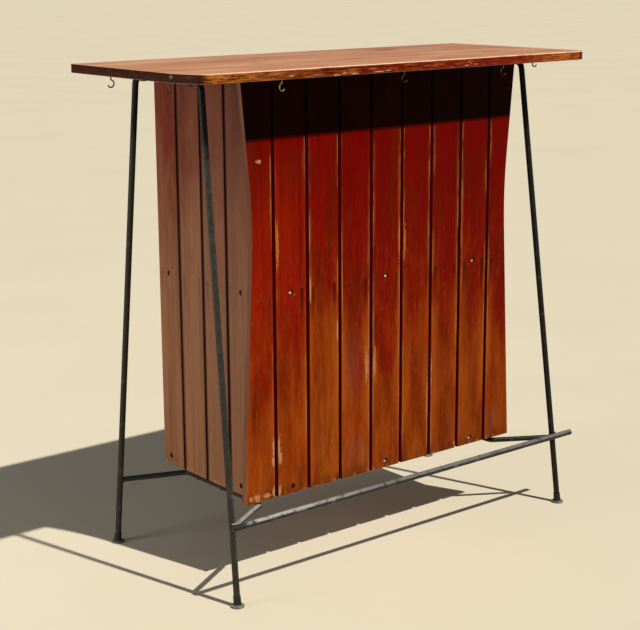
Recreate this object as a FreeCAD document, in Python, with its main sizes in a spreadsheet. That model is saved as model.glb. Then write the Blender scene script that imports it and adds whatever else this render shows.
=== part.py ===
# A dry bar: a board-clad cabinet with a waisted front, hung under a wide bar top and carried by two
# splayed end frames of bent round iron, with stretchers, a foot rail and cup hooks.
# Millimetres, +Z up, floor at z = 0. Guests stand on the -Y side, the open shelves face +Y.
import FreeCAD
import Part
import Sketcher
import math
import os
import re

SIZES = (
    ("total_height", 1020, "floor to the upper face of the bar top"),
    ("top_thickness", 18, "bar top board"),
    ("top_end_overhang", 93.2, "reach of the top past the legs at each end"),
    ("top_front_overhang", 73, "front edge of the top ahead of the face of the front boards"),
    ("top_back_overhang", 4, "back edge of the top behind the back edge of the sides"),
    ("top_clip_along", 22, "clipped front corner, measured along the front edge"),
    ("top_clip_across", 67, "clipped front corner, measured along the end"),
    ("top_corner_rounding", 26, "rounding where that clip meets the front edge"),
    ("top_arris", 1.5, "rounding of the top's long wear edges"),
    ("top_grip", 10, "how far hooks and screws go up into the top"),
    ("panel_face_reach", 135.3, "face of the front boards ahead of the middle of the bar"),
    ("board_thickness", 12, "cladding board"),
    ("board_pitch", 83.4, "cover width of one board, slot included"),
    ("board_slot", 6.5, "open shadow slot between two boards"),
    ("board_arris", 1.2, "worn bevel along the face of a board"),
    ("tongue_thickness", 3.5, "tongue that closes the slot"),
    ("tongue_back_wall", 2.5, "wood behind the tongue's groove"),
    ("tongue_grip", 5, "how far a tongue goes into the next board"),
    ("joint_clearance", 0.3, "play of a tongue in its groove"),
    ("front_bottom", 162.5, "lower ends of the front boards above the floor"),
    ("waist_depth_below_top", 25.5, "how much wider each half of the front is under the top than at the waist"),
    ("waist_depth_at_bottom", 29, "how much wider each half of the front is at its bottom than at the waist"),
    ("outer_board_waist", 48.6, "outer front board at the waist, from the middle of its seam"),
    ("waist_rounding", 1150, "radius that eases the edge of the front through the waist"),
    ("side_setback", 9.2, "face of the side boards inside the edge of the front at its waist"),
    ("side_bottom", 158, "lower ends of the side boards above the floor"),
    ("side_first_seam", 105.5, "first side seam behind the face of the front boards"),
    ("last_side_board", 75.7, "hindmost side board, from the middle of its seam to its back edge"),
    ("shelf_thickness", 18, "shelf board"),
    ("shelf_setback", 4, "back edge of the shelves inside the back edge of the sides"),
    ("bottom_shelf_height", 177, "middle of the bottom shelf above the floor"),
    ("cleat_width", 20, "square section of the strips under the top"),
    ("panel_screw_diameter", 4, "shank of the screws through the boards"),
    ("panel_screw_head", 10.5, "head of the screws through the boards"),
    ("panel_screw_head_height", 2, "thickness of that head"),
    ("panel_screw_grip", 22, "how far those screws go into a shelf edge"),
    ("side_low_screw_setback", 10, "lower screws of the sides, behind the middle of their boards"),
    ("counterbore_depth", 5, "sunk seat of a panel screw's head"),
    ("screw_clearance", 0.3, "play round a screw in its hole"),
    ("screw_end_room", 1, "room past the end of a screw"),
    ("small_screw_diameter", 3.5, "shank of the clip and stretcher screws"),
    ("small_screw_head", 7, "head of those screws"),
    ("small_screw_head_height", 2.2, "thickness of that head"),
    ("stretcher_screw_grip", 24, "how far a stretcher screw goes up into a side board"),
    ("leg_rod", 12.7, "round bar of the leg frames"),
    ("leg_bend", 17, "bend of a leg frame, to the middle of the bar"),
    ("leg_room", 95.5, "middle of the legs outside the face of the side boards, under the top"),
    ("leg_front_setback", 39.2, "front legs behind the face of the front boards, under the top"),
    ("leg_back_setback", 84, "back legs ahead of the back edge of the sides, under the top"),
    ("foot_splay", 26.9, "how much further out the legs stand at the floor than under the top"),
    ("foot_half_depth", 218.8, "legs ahead of and behind the middle of the bar, at the floor"),
    ("leg_end_height", 7, "end of the leg bar above the floor, inside its foot"),
    ("seat_gap", 0.3, "play between a round bar and what it is fixed against"),
    ("foot_disc", 27, "flat flange of a foot"),
    ("foot_disc_height", 4, "thickness of that flange"),
    ("foot_sleeve_top", 14.6, "foot sleeve at its mouth"),
    ("foot_sleeve_base", 15.8, "foot sleeve at the flange"),
    ("foot_sleeve_height", 20, "foot sleeve above the middle of the flange"),
    ("clip_width", 12, "saddle clip along the bar"),
    ("clip_thickness", 1.6, "strap of a saddle clip"),
    ("clip_half_length", 22, "saddle clip from its middle to the end of a flange"),
    ("clip_screw_spacing", 30, "from one screw of a clip to the other"),
    ("clip_front_setback", 37.8, "front clips behind the front legs"),
    ("clip_back_setback", 26.7, "back clips ahead of the back legs"),
    ("stretcher_rod", 11.1, "round bar of the stretchers"),
    ("stretcher_bend", 16, "bend of a stretcher, to the middle of the bar"),
    ("stretcher_front_setback", 10, "front bend of a stretcher behind the face of the front boards"),
    ("stretcher_back_setback", 80, "back bend of a stretcher ahead of the back edge of the sides"),
    ("stretcher_back_drop", 9, "fall of a stretcher towards the back leg"),
    ("rail_rod", 12.7, "round bar of the foot rail"),
    ("rail_rise", 5.85, "middle of the foot rail above the middle of the stretchers"),
    ("rail_right_overhang", 47, "foot rail past the middle of the right front leg"),
    ("rail_end_chamfer", 1, "broken edge at the rail's cut ends"),
    ("hook_wire", 2.8, "wire of a cup hook"),
    ("hook_neck", 5, "straight wire between the top and the hook's shoulder"),
    ("hook_shoulder", 4, "bend of the hook's shoulder, to the middle of the wire"),
    ("hook_bowl", 7, "bend of the hook's bowl, to the middle of the wire"),
    ("hook_inset", 18, "hooks inside the edge of the top"),
    ("cut_overrun", 5, "how far a cut runs past the piece"),
)

FRONT_BOARDS = 9
SIDE_BOARDS = 4
OUTER_SEAM = (FRONT_BOARDS - 2) / 2

# How far up the front boards the waist and the middle shelf are, as shares of the boards' length.
FRONT_HEIGHT_SHARES = (0.6712, 0.4973)
WAIST_UP, SHELF_UP = ["front_bottom + %g * (total_height - top_thickness - front_bottom)" % share
                      for share in FRONT_HEIGHT_SHARES]

# Places that follow from the sizes: the boards set the cabinet, the cabinet the legs, the legs the top.
REACHES = (
    ("front_waist_height", WAIST_UP, "waist above the floor"),
    ("middle_shelf_height", SHELF_UP, "middle shelf above the floor"),
    ("front_waist_half_width", "%g * board_pitch + outer_board_waist" % OUTER_SEAM, "half width at the waist"),
    ("front_top_half_width", "front_waist_half_width + waist_depth_below_top", "half width under the top"),
    ("front_bottom_half_width", "front_waist_half_width + waist_depth_at_bottom", "half width at the bottom"),
    ("side_face_reach", "front_waist_half_width - side_setback", "face of the side boards"),
    ("side_back_reach", "side_first_seam - panel_face_reach + %d * board_pitch + last_side_board"
     % (SIDE_BOARDS - 2), "back edge of the sides"),
    ("rail_height", "side_bottom - seat_gap - stretcher_rod / 2 + rail_rise", "foot rail above the floor"),
    ("leg_top_half_span", "side_face_reach + leg_room", "middle of the legs under the top"),
    ("foot_half_span", "leg_top_half_span + foot_splay", "middle of the legs at the floor"),
    ("leg_top_front_reach", "panel_face_reach - leg_front_setback", "front legs under the top"),
    ("leg_top_back_reach", "side_back_reach - leg_back_setback", "back legs under the top"),
    ("top_half_length", "leg_top_half_span + top_end_overhang", "half of the top"),
    ("top_front_reach", "panel_face_reach + top_front_overhang", "front edge of the top"),
    ("top_back_reach", "side_back_reach + top_back_overhang", "back edge of the top"),
    ("clip_front_reach", "leg_top_front_reach - clip_front_setback", "front clips"),
    ("clip_back_reach", "leg_top_back_reach - clip_back_setback", "back clips"),
    ("stretcher_front_reach", "panel_face_reach - stretcher_front_setback", "front bend of a stretcher"),
    ("stretcher_back_reach", "side_back_reach - stretcher_back_setback", "back bend of a stretcher"),
)
SCREWED_FRONT_BOARDS = (1, 4, 7)
SCREWED_SIDE_BOARDS = (0, 3)
STRETCHED_SIDE_BOARDS = (1, 2)
HOOK_TIP_TURN = math.radians(65)

# Hook wire and screws are many and small, so they are drawn with flat sides to keep facets few.
SMALL_ROUND_SIDES = 8

# Hook places along the front and along the two ends, as shares of the top's half length and back reach.
FRONT_HOOK_SHARES = (-0.595, -0.006, 0.5285)
LEFT_HOOK_SHARES = (-0.448, 0.457)
RIGHT_HOOK_SHARES = (-0.305, 0.457)

UP = FreeCAD.Vector(0, 0, 1)
SKETCH_ORIGIN = (-1, 1)
CURVE_POINTS = ("edge", "start", "end", "centre")

doc = FreeCAD.newDocument("dry_bar")
sheet = doc.addObject("Spreadsheet::Sheet", "Sizes")
for row, (name, value, meaning) in enumerate(SIZES + REACHES, 1):
    sheet.set("A%d" % row, meaning)
    sheet.set("B%d" % row, str(value) if row <= len(SIZES) else "=" + value)
    sheet.setAlias("B%d" % row, name)
doc.recompute()

subparts = []


def cells(formula):
    """The formula with each size name pointed at its cell."""
    return re.sub(r"[a-z]+_\w+", r"Sizes.\g<0>", formula)


def size(formula):
    """The present value of a formula of sizes."""
    return float(sheet.evalExpression(cells(formula)))


def bind(thing, path, formula):
    """Ties one property to a formula of sizes."""
    thing.setExpression(path, cells(formula))


def sub_part(thing, label):
    """Names a finished sub-part and puts it on the list to be written."""
    thing.Label = label
    subparts.append(thing)
    return thing


def place(thing, x, y, z, turn=FreeCAD.Rotation()):
    """Turns a sub-part and ties its place to formulas."""
    thing.Placement = FreeCAD.Placement(FreeCAD.Vector(size(x), size(y), size(z)), turn)
    for axis, formula in (("x", x), ("y", y), ("z", z)):
        if formula != "0":
            bind(thing, "Placement.Base." + axis, formula)


def turned(degrees):
    return FreeCAD.Rotation(UP, degrees)


# Sketches

def new_body(label):
    return sub_part(doc.addObject("PartDesign::Body", label), label)


def new_sketch(body, role, offset="0"):
    """A sketch on one of the body's own planes, moved along the plane's normal."""
    plane = [feature for feature in body.Origin.OriginFeatures if feature.Role == role][0]
    sketch = body.newObject("Sketcher::SketchObject", body.Name + "_sketch")
    sketch.AttachmentSupport = [(plane, "")]
    sketch.MapMode = "FlatFace"
    if offset != "0":
        bind(sketch, "AttachmentOffset.Base.z", offset)
    return sketch


def hold(sketch, kind, value, *ends):
    """One dimension of a sketch, tied to its formula."""
    index = sketch.addConstraint(Sketcher.Constraint(kind, *ends, size(value)))
    if value != "0":
        bind(sketch, "Constraints[%d]" % index, value)


def pin(sketch, line, end, x, y):
    """Holds one end of a line at its coordinates."""
    hold(sketch, "DistanceX", x, *SKETCH_ORIGIN, line, end)
    hold(sketch, "DistanceY", y, *SKETCH_ORIGIN, line, end)


def point(x, y):
    return FreeCAD.Vector(size(x), size(y), 0)


def end_near(sketch, curve, where):
    """Which end of a curve lies at the given point."""
    start = sketch.Geometry[curve].StartPoint
    finish = sketch.Geometry[curve].EndPoint
    nearer = "start" if start.distanceToPoint(where) < finish.distanceToPoint(where) else "end"
    return CURVE_POINTS.index(nearer)


def left_turning_arc(start, middle, finish):
    """An arc through three points, drawn anticlockwise."""
    clockwise = (middle - start).cross(finish - middle).z < 0
    return Part.Arc(finish, middle, start) if clockwise else Part.Arc(start, middle, finish)


def draw_outline(sketch, corners, arcs=()):
    """A closed outline through the corners. An arc is given by the index of the corner where it starts,
    with a point that it passes and the level of its centre."""
    arcs = dict(arcs)
    count = len(corners)
    points = [point(x, y) for x, y in corners]
    curves = []
    for n in range(count):
        after = points[(n + 1) % count]
        if n in arcs:
            curve = left_turning_arc(points[n], arcs[n][0], after)
        else:
            curve = Part.LineSegment(points[n], after)
        curves.append(sketch.addGeometry(curve))
    for n in range(count):
        joint = points[(n + 1) % count]
        here, following = curves[n], curves[(n + 1) % count]
        sketch.addConstraint(Sketcher.Constraint(
            "Coincident", here, end_near(sketch, here, joint), following, end_near(sketch, following, joint)))
    for n in range(count):
        pin(sketch, curves[n], end_near(sketch, curves[n], points[n]), *corners[n])
        if n in arcs:
            hold(sketch, "DistanceY", arcs[n][1], *SKETCH_ORIGIN, curves[n], CURVE_POINTS.index("centre"))


def draw_circle(sketch, x, y, diameter):
    middle = point(x, y)
    circle = sketch.addGeometry(Part.Circle(middle, UP, size(diameter) / 2))
    pin(sketch, circle, CURVE_POINTS.index("centre"), x, y)
    hold(sketch, "Diameter", diameter, circle)


def pad(body, sketch, length):
    feature = body.newObject("PartDesign::Pad", body.Name + "_pad")
    feature.Profile = sketch
    bind(feature, "Length", length)
    return feature


def pocket(body, sketch, depth=None, upwards=False):
    """Cuts the sketch into the body: to a depth, or right through where none is given."""
    feature = body.newObject("PartDesign::Pocket", body.Name + "_pocket")
    feature.Profile = sketch
    feature.Reversed = upwards
    if depth is None:
        feature.Type = "ThroughAll"
    else:
        bind(feature, "Length", depth)
    return feature


def drill(body, role, places, depth=None, upwards=False, offset="0"):
    """Round holes in one go: places holds (x, y, diameter) formulas on the plane."""
    sketch = new_sketch(body, role, offset)
    for x, y, diameter in places:
        draw_circle(sketch, x, y, diameter)
    return pocket(body, sketch, depth, upwards)


# Formulas that several pieces share

TOP_UNDERSIDE = "(total_height - top_thickness)"
SIDE_INNER = "(side_face_reach - board_thickness)"
BOARDS_BACK = "(board_thickness - panel_face_reach)"
LEG_AXIS_HEIGHT = "(total_height - top_thickness - seat_gap - leg_rod / 2)"
STRETCHER_HEIGHT = "(side_bottom - seat_gap - stretcher_rod / 2)"
PANEL_HOLE = "panel_screw_diameter + 2 * screw_clearance"
COUNTERBORE = "panel_screw_head + 2 * screw_clearance"
SMALL_HOLE = "small_screw_diameter + 2 * screw_clearance"
TOP_HOLE_DEPTH = "top_grip + screw_end_room"
SHELF_HEIGHTS = ("bottom_shelf_height", "middle_shelf_height")
SIDE_SCREW_SETBACKS = ("side_low_screw_setback", "0")


def seam(index):
    """Middle of a front seam, counted from the left."""
    return "(%g * board_pitch)" % (index - OUTER_SEAM)


def side_seam(index):
    """Middle of a side seam, counted from the front."""
    return "(side_first_seam - panel_face_reach + %d * board_pitch)" % index


def side_board_edges(index):
    """Front and back edges of the face of a side board, counted from the front."""
    front = side_seam(index - 1) + " + board_slot / 2" if index else BOARDS_BACK
    back = side_seam(index) + " - board_slot / 2" if index < SIDE_BOARDS - 1 else "side_back_reach"
    return front, back


def side_board_middle(index):
    front, back = side_board_edges(index)
    return "((%s + %s) / 2)" % (front, back)


def front_leg_depth(height):
    """How far the middle of a front leg stands ahead of the middle of the bar, at a height."""
    return "(foot_half_depth + (leg_top_front_reach - foot_half_depth) * %s / %s)" % (height, LEG_AXIS_HEIGHT)


def leg_span(height):
    """How far the middle of a leg stands from the middle of the bar, at a height."""
    return "(foot_half_span - foot_splay * %s / %s)" % (height, LEG_AXIS_HEIGHT)


def leg_point(side, end, height):
    """A point on the middle line of a leg: side -1 is left, end -1 is front."""
    reach = "leg_top_front_reach" if end < 0 else "leg_top_back_reach"
    share = height / size(LEG_AXIS_HEIGHT)
    depth = size("foot_half_depth") * (1 - share) + size(reach) * share
    return FreeCAD.Vector(side * size(leg_span(str(height))), end * depth, height)


# Cladding boards

def board_outline(left, right, tongue, groove):
    """Cross-section of a board, face on y = 0, with a groove in its left edge and a tongue on its right."""
    tongue_back = "board_thickness - tongue_back_wall"
    tongue_front = tongue_back + " - tongue_thickness"
    tip = right + " + board_slot + tongue_grip"
    corners = [(left + " + board_arris", "0"), (right + " - board_arris", "0"), (right, "board_arris")]
    if tongue:
        corners += [(right, tongue_front), (tip, tongue_front), (tip, tongue_back), (right, tongue_back)]
    corners += [(right, "board_thickness"), (left, "board_thickness")]
    if groove:
        floor = left + " + tongue_grip + joint_clearance"
        back = tongue_back + " + joint_clearance"
        front = tongue_front + " - joint_clearance"
        corners += [(left, back), (floor, back), (floor, front), (left, front)]
    return corners + [(left, "board_arris")]


def make_board(label, left, right, tongue, groove, height):
    body = new_body(label)
    sketch = new_sketch(body, "XY_Plane")
    draw_outline(sketch, board_outline(left, right, tongue, groove))
    pad(body, sketch, height)
    return body


def bore_for_screws(body, middle, bottom, lower_shift="0"):
    """Clear holes and sunk seats for the two screws of a board."""
    places = [("%s + %s" % (middle, shift), "%s - %s" % (height, bottom))
              for height, shift in zip(SHELF_HEIGHTS, (lower_shift, "0"))]
    drill(body, "XZ_Plane", [(x, z, PANEL_HOLE) for x, z in places])
    drill(body, "XZ_Plane", [(x, z, COUNTERBORE) for x, z in places], "counterbore_depth")


def cut_waist(body, side):
    """Cuts an outer board to the waisted outline: two straight runs, eased into each other at the waist."""
    sketch = new_sketch(body, "XZ_Plane")
    upper = "%d * front_top_half_width" % side
    waist = "%d * front_waist_half_width" % side
    lower = "%d * front_bottom_half_width" % side
    outside = "%d * (front_bottom_half_width + 2 * cut_overrun)" % side
    waist_level = "front_waist_height - front_bottom"
    top_level = TOP_UNDERSIDE + " - front_bottom"
    above = top_level + " + cut_overrun"
    below = "-cut_overrun"
    draw_outline(sketch, [(lower, below), (lower, "0"), (waist, waist_level), (upper, top_level), (upper, above),
                          (outside, above), (outside, below)])
    outline = pocket(body, sketch)
    doc.recompute()
    corner = FreeCAD.Vector(size(waist), 0, size(waist_level))
    edges = ["Edge%d" % (n + 1) for n, edge in enumerate(outline.Shape.Edges)
             if all(end.Point.distanceToLine(corner, FreeCAD.Vector(0, 1, 0)) < size("seat_gap")
                    for end in edge.Vertexes)]
    easing = body.newObject("PartDesign::Fillet", body.Name + "_waist")
    easing.Base = (outline, edges)
    bind(easing, "Radius", "waist_rounding")


def make_front_boards():
    height = TOP_UNDERSIDE + " - front_bottom"
    last = FRONT_BOARDS - 1
    for index in range(FRONT_BOARDS):
        label = "front_board_%d" % (index + 1)
        edge = "front_bottom_half_width + cut_overrun"
        if index == 0:
            body = make_board(label, "-(%s)" % edge, seam(0) + " - board_slot / 2", True, False, height)
            cut_waist(body, -1)
            across = "0"
        elif index == last:
            body = make_board(label, seam(last - 1) + " + board_slot / 2", edge, False, True, height)
            cut_waist(body, 1)
            across = "0"
        else:
            body = make_board(label, "0", "board_pitch - board_slot", True, True, height)
            across = seam(index - 1) + " + board_slot / 2"
        if index in SCREWED_FRONT_BOARDS:
            bore_for_screws(body, "(board_pitch - board_slot) / 2", "front_bottom")
        place(body, across, "-panel_face_reach", "front_bottom")


def make_side_boards(side):
    """Four boards of one side: side -1 is left. Their width runs to the front on the left side."""
    height = TOP_UNDERSIDE + " - side_bottom"
    name = "left" if side < 0 else "right"
    for index in range(SIDE_BOARDS):
        front, back = side_board_edges(index)
        width = "(%s - (%s))" % (back, front)
        foremost = index == 0
        hindmost = index == SIDE_BOARDS - 1
        tongue = not (foremost if side < 0 else hindmost)
        groove = not (hindmost if side < 0 else foremost)
        body = make_board("%s_side_board_%d" % (name, index + 1), "0", width, tongue, groove, height)
        if index in SCREWED_SIDE_BOARDS:
            bore_for_screws(body, width + " / 2", "side_bottom", "%d * side_low_screw_setback" % side)
        if index in STRETCHED_SIDE_BOARDS:
            hole = (width + " / 2", "board_thickness / 2", SMALL_HOLE)
            drill(body, "XY_Plane", [hole], "stretcher_screw_grip + screw_end_room", upwards=True)
        start = back if side < 0 else front
        place(body, "%d * side_face_reach" % side, start, "side_bottom", turned(side * 90))


# Top, shelves and cleats

def hook_places():
    """Each hook's place under the top and the way that it opens, as a quarter turn from +X."""
    places = []
    for number, share in enumerate(FRONT_HOOK_SHARES, 1):
        places.append(("front_hook_%d" % number, "%g * top_half_length" % share,
                       "hook_inset - top_front_reach", -90))
    for name, side, shares in (("left", -1, LEFT_HOOK_SHARES), ("right", 1, RIGHT_HOOK_SHARES)):
        for number, share in enumerate(shares, 1):
            depth = "%g * top_back_reach" % share
            across = "%d * (top_half_length - hook_inset)" % side
            places.append(("%s_hook_%d" % (name, number), across, depth, 180 if side < 0 else 0))
    return places


def clip_places():
    return [("%s_%s_clip" % (name, end), "%d * leg_top_half_span" % side, depth)
            for name, side in (("left", -1), ("right", 1))
            for end, depth in (("front", "-clip_front_reach"), ("back", "clip_back_reach"))]


def clip_screw_places():
    return [("%s + %d * clip_screw_spacing / 2" % (x, way), y) for label, x, y in clip_places() for way in (-1, 1)]


FRONT_CLEAT_HALF = "(%s - cleat_width)" % SIDE_INNER
SIDE_CLEAT_BACK = "(side_back_reach - shelf_setback)"
SIDE_CLEAT_HALF = "((%s - %s) / 2)" % (SIDE_CLEAT_BACK, BOARDS_BACK)
SIDE_CLEAT_MIDDLE = "((%s + %s) / 2)" % (SIDE_CLEAT_BACK, BOARDS_BACK)


def make_top():
    body = new_body("bar_top")
    sketch = new_sketch(body, "XY_Plane")
    shoulder = "top_clip_across - top_front_reach"
    half = [("top_half_length", "top_back_reach"), ("top_half_length", shoulder),
            ("top_half_length - top_clip_along", "-top_front_reach")]
    mirrored = [("-(%s)" % x, y) for x, y in reversed(half)]
    draw_outline(sketch, half + mirrored)
    board = pad(body, sketch, "top_thickness")
    doc.recompute()
    front = -size("top_front_reach")
    corners = ["Edge%d" % (n + 1) for n, edge in enumerate(board.Shape.Edges)
               if math.isclose(edge.BoundBox.YMin, front) and math.isclose(edge.BoundBox.YMax, front)
               and math.isclose(edge.BoundBox.XMin, edge.BoundBox.XMax)]
    clipped = body.newObject("PartDesign::Fillet", "bar_top_corners")
    clipped.Base = (board, corners)
    bind(clipped, "Radius", "top_corner_rounding")
    doc.recompute()
    faces = ["Face%d" % (n + 1) for n, face in enumerate(clipped.Shape.Faces)
             if abs(face.normalAt(0, 0).z) > 0.5]
    rounding = body.newObject("PartDesign::Fillet", "bar_top_arris")
    rounding.Base = (clipped, faces)
    bind(rounding, "Radius", "top_arris")
    holes = [(x, y, "hook_wire + 2 * screw_clearance") for label, x, y, turn in hook_places()]
    holes += [(x, y, SMALL_HOLE) for x, y in clip_screw_places()]
    drill(body, "XY_Plane", holes, TOP_HOLE_DEPTH, upwards=True)
    place(body, "0", "0", TOP_UNDERSIDE)


def make_shelf(label, height, setback):
    """A shelf between the sides, with screw holes in its front and end edges."""
    body = new_body(label)
    sketch = new_sketch(body, "XY_Plane", "-shelf_thickness / 2")
    depth = "side_back_reach - shelf_setback - " + BOARDS_BACK
    left = "-" + SIDE_INNER
    draw_outline(sketch, [(left, "0"), (SIDE_INNER, "0"), (SIDE_INNER, depth), (left, depth)])
    pad(body, sketch, "shelf_thickness")
    bite = "panel_screw_grip + screw_end_room"
    front = [("%d * board_pitch" % (n - FRONT_BOARDS // 2), "0", PANEL_HOLE) for n in SCREWED_FRONT_BOARDS]
    drill(body, "XZ_Plane", front, bite)
    ends = [("%s + %s - %s" % (side_board_middle(n), setback, BOARDS_BACK), "0", PANEL_HOLE)
            for n in SCREWED_SIDE_BOARDS]
    drill(body, "YZ_Plane", ends, bite, offset=SIDE_INNER)
    drill(body, "YZ_Plane", ends, bite, upwards=True, offset=left)
    place(body, "0", BOARDS_BACK, height)


def make_cleat(label, half_x, half_y, middle_x, middle_y):
    """A strip glued in the corner between the boards and the top."""
    body = new_body(label)
    sketch = new_sketch(body, "XY_Plane")
    draw_outline(sketch, [("-" + half_x, "-" + half_y), (half_x, "-" + half_y),
                          (half_x, half_y), ("-" + half_x, half_y)])
    pad(body, sketch, "cleat_width")
    place(body, middle_x, middle_y, TOP_UNDERSIDE + " - cleat_width")


def make_cleats():
    half_width = "(cleat_width / 2)"
    make_cleat("front_cleat", FRONT_CLEAT_HALF, half_width, "0", BOARDS_BACK + " + cleat_width / 2")
    for name, side in (("left", -1), ("right", 1)):
        across = "%d * (%s - cleat_width / 2)" % (side, SIDE_INNER)
        make_cleat(name + "_cleat", half_width, SIDE_CLEAT_HALF, across, SIDE_CLEAT_MIDDLE)


# Bent round bars

def rounded_route(points, bend):
    """Straight runs joined by tangent arcs of one radius."""
    edges = []
    start = points[0]
    for before, corner, after in zip(points, points[1:], points[2:]):
        back = (before - corner).normalize()
        ahead = (after - corner).normalize()
        half_turn = (math.pi - back.getAngle(ahead)) / 2
        setback = bend * math.tan(half_turn)
        inwards = (back + ahead).normalize()
        middle = corner + inwards * (bend / math.cos(half_turn) - bend)
        edges.append(Part.LineSegment(start, corner + back * setback).toShape())
        edges.append(Part.Arc(corner + back * setback, middle, corner + ahead * setback).toShape())
        start = corner + ahead * setback
    edges.append(Part.LineSegment(start, points[-1]).toShape())
    return edges


def sweep_bar(label, edges, diameter, sides=0):
    """A bar along a route, its thickness tied to the sheet: round, or with a few flat sides on a small one."""
    route = doc.addObject("Part::Feature", label + "_route")
    route.Shape = Part.Wire(edges)
    section = doc.addObject("Part::RegularPolygon" if sides else "Part::Circle", label + "_section")
    if sides:
        section.Polygon = sides
        bind(section, "Circumradius", diameter + " / 2")
    else:
        bind(section, "Radius", diameter + " / 2")
    start = edges[0].firstVertex().Point
    way = edges[0].lastVertex().Point - start
    section.Placement = FreeCAD.Placement(start, FreeCAD.Rotation(UP, way))
    bar = doc.addObject("Part::Sweep", label)
    bar.Sections = [section]
    bar.Spine = (route, ["Edge%d" % (n + 1) for n in range(len(edges))])
    bar.Solid = True
    bar.Frenet = False
    return bar


def leg_bore(label, side, end, low, high, diameter):
    """A cylinder along a leg between two heights, to cut what meets the leg."""
    bottom = leg_point(side, end, low)
    along = leg_point(side, end, high) - bottom
    tool = doc.addObject("Part::Cylinder", label)
    bind(tool, "Radius", diameter + " / 2")
    tool.Height = along.Length
    tool.Placement = FreeCAD.Placement(bottom, FreeCAD.Rotation(UP, along))
    return tool


def cut(label, base, tools):
    """Cuts one object by others, one after another."""
    for number, tool in enumerate(tools, 1):
        result = doc.addObject("Part::Cut", "%s_cut_%d" % (label, number))
        result.Base = base
        result.Tool = tool
        base = result
    return base


def make_leg_frame(name, side):
    """One end frame: two splayed legs and the bar under the top, bent from one length."""
    low = size("leg_end_height")
    high = size(LEG_AXIS_HEIGHT)
    corners = [leg_point(side, -1, low), leg_point(side, -1, high),
               leg_point(side, 1, high), leg_point(side, 1, low)]
    bar = sweep_bar(name + "_leg_frame", rounded_route(corners, size("leg_bend")), "leg_rod")
    sub_part(bar, name + "_leg_frame")


def stretcher_screw_places(side):
    across = "%d * (side_face_reach - board_thickness / 2)" % side
    return [(across, side_board_middle(n)) for n in STRETCHED_SIDE_BOARDS]


def make_stretcher(name, side):
    """A bar from the front leg in to the cabinet, along under the side boards and out to the back leg."""
    level = size(STRETCHER_HEIGHT)
    lower = level - size("stretcher_back_drop")
    across = side * size("side_face_reach - board_thickness / 2")
    corners = [leg_point(side, -1, level),
               FreeCAD.Vector(across, -size("stretcher_front_reach"), level),
               FreeCAD.Vector(across, size("stretcher_back_reach"), level),
               leg_point(side, 1, lower)]
    label = name + "_stretcher"
    bar = sweep_bar(label + "_bar", rounded_route(corners, size("stretcher_bend")), "stretcher_rod")
    reach = 2 * size("stretcher_rod")
    round_leg = "(leg_rod + 2 * seat_gap)"
    tools = [leg_bore(label + "_front_end", side, -1, level - reach, level + reach, round_leg),
             leg_bore(label + "_back_end", side, 1, lower - reach, lower + reach, round_leg)]
    for x, y in stretcher_screw_places(side):
        hole = doc.addObject("Part::Cylinder", label + "_screw_hole")
        bind(hole, "Radius", "(%s) / 2" % SMALL_HOLE)
        bind(hole, "Height", "stretcher_rod + 2 * cut_overrun")
        place(hole, x, y, STRETCHER_HEIGHT + " - stretcher_rod / 2 - cut_overrun")
        tools.append(hole)
    sub_part(cut(label, bar, tools), label)


def make_foot_rail():
    """A straight bar in front of both front legs, flush with the left leg and running past the right one."""
    body = new_body("foot_rail")
    sketch = new_sketch(body, "YZ_Plane")
    draw_circle(sketch, "0", "0", "rail_rod")
    span = leg_span("rail_height")
    bar = pad(body, sketch, "2 * %s + leg_rod / 2 + rail_right_overhang" % span)
    doc.recompute()
    ends = ["Face%d" % (n + 1) for n, face in enumerate(bar.Shape.Faces) if len(face.Edges) == 1]
    chamfer = body.newObject("PartDesign::Chamfer", "foot_rail_ends")
    chamfer.Base = (bar, ends)
    bind(chamfer, "Size", "rail_end_chamfer")
    lean = "sqrt(1 + ((foot_half_depth - leg_top_front_reach) / %s) ^ 2)" % LEG_AXIS_HEIGHT
    ahead = "((leg_rod + rail_rod) / 2 + seat_gap) * " + lean
    place(body, "-%s - leg_rod / 2" % span, "-%s - %s" % (front_leg_depth("rail_height"), ahead), "rail_height")


def make_foot(label, side, end):
    """A rubber foot: a flat flange on the floor and a tapered sleeve that leans with its leg."""
    middle = leg_point(side, end, size("foot_disc_height / 2"))
    along = leg_point(side, end, size("total_height")) - middle
    flange = doc.addObject("Part::Cylinder", label + "_flange")
    bind(flange, "Radius", "foot_disc / 2")
    bind(flange, "Height", "foot_disc_height")
    place(flange, "%d * foot_half_span" % side, "%d * foot_half_depth" % end, "0")
    sleeve = doc.addObject("Part::Cone", label + "_sleeve")
    bind(sleeve, "Radius1", "foot_sleeve_base / 2")
    bind(sleeve, "Radius2", "foot_sleeve_top / 2")
    bind(sleeve, "Height", "foot_sleeve_height")
    sleeve.Placement = FreeCAD.Placement(middle, FreeCAD.Rotation(UP, along))
    whole = doc.addObject("Part::Fuse", label + "_whole")
    whole.Base = flange
    whole.Tool = sleeve
    low = size("leg_end_height - seat_gap")
    high = low + size("foot_sleeve_height + cut_overrun")
    socket = leg_bore(label + "_socket", side, end, low, high, "(leg_rod + 2 * seat_gap)")
    sub_part(cut(label, whole, [socket]), label)


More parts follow.
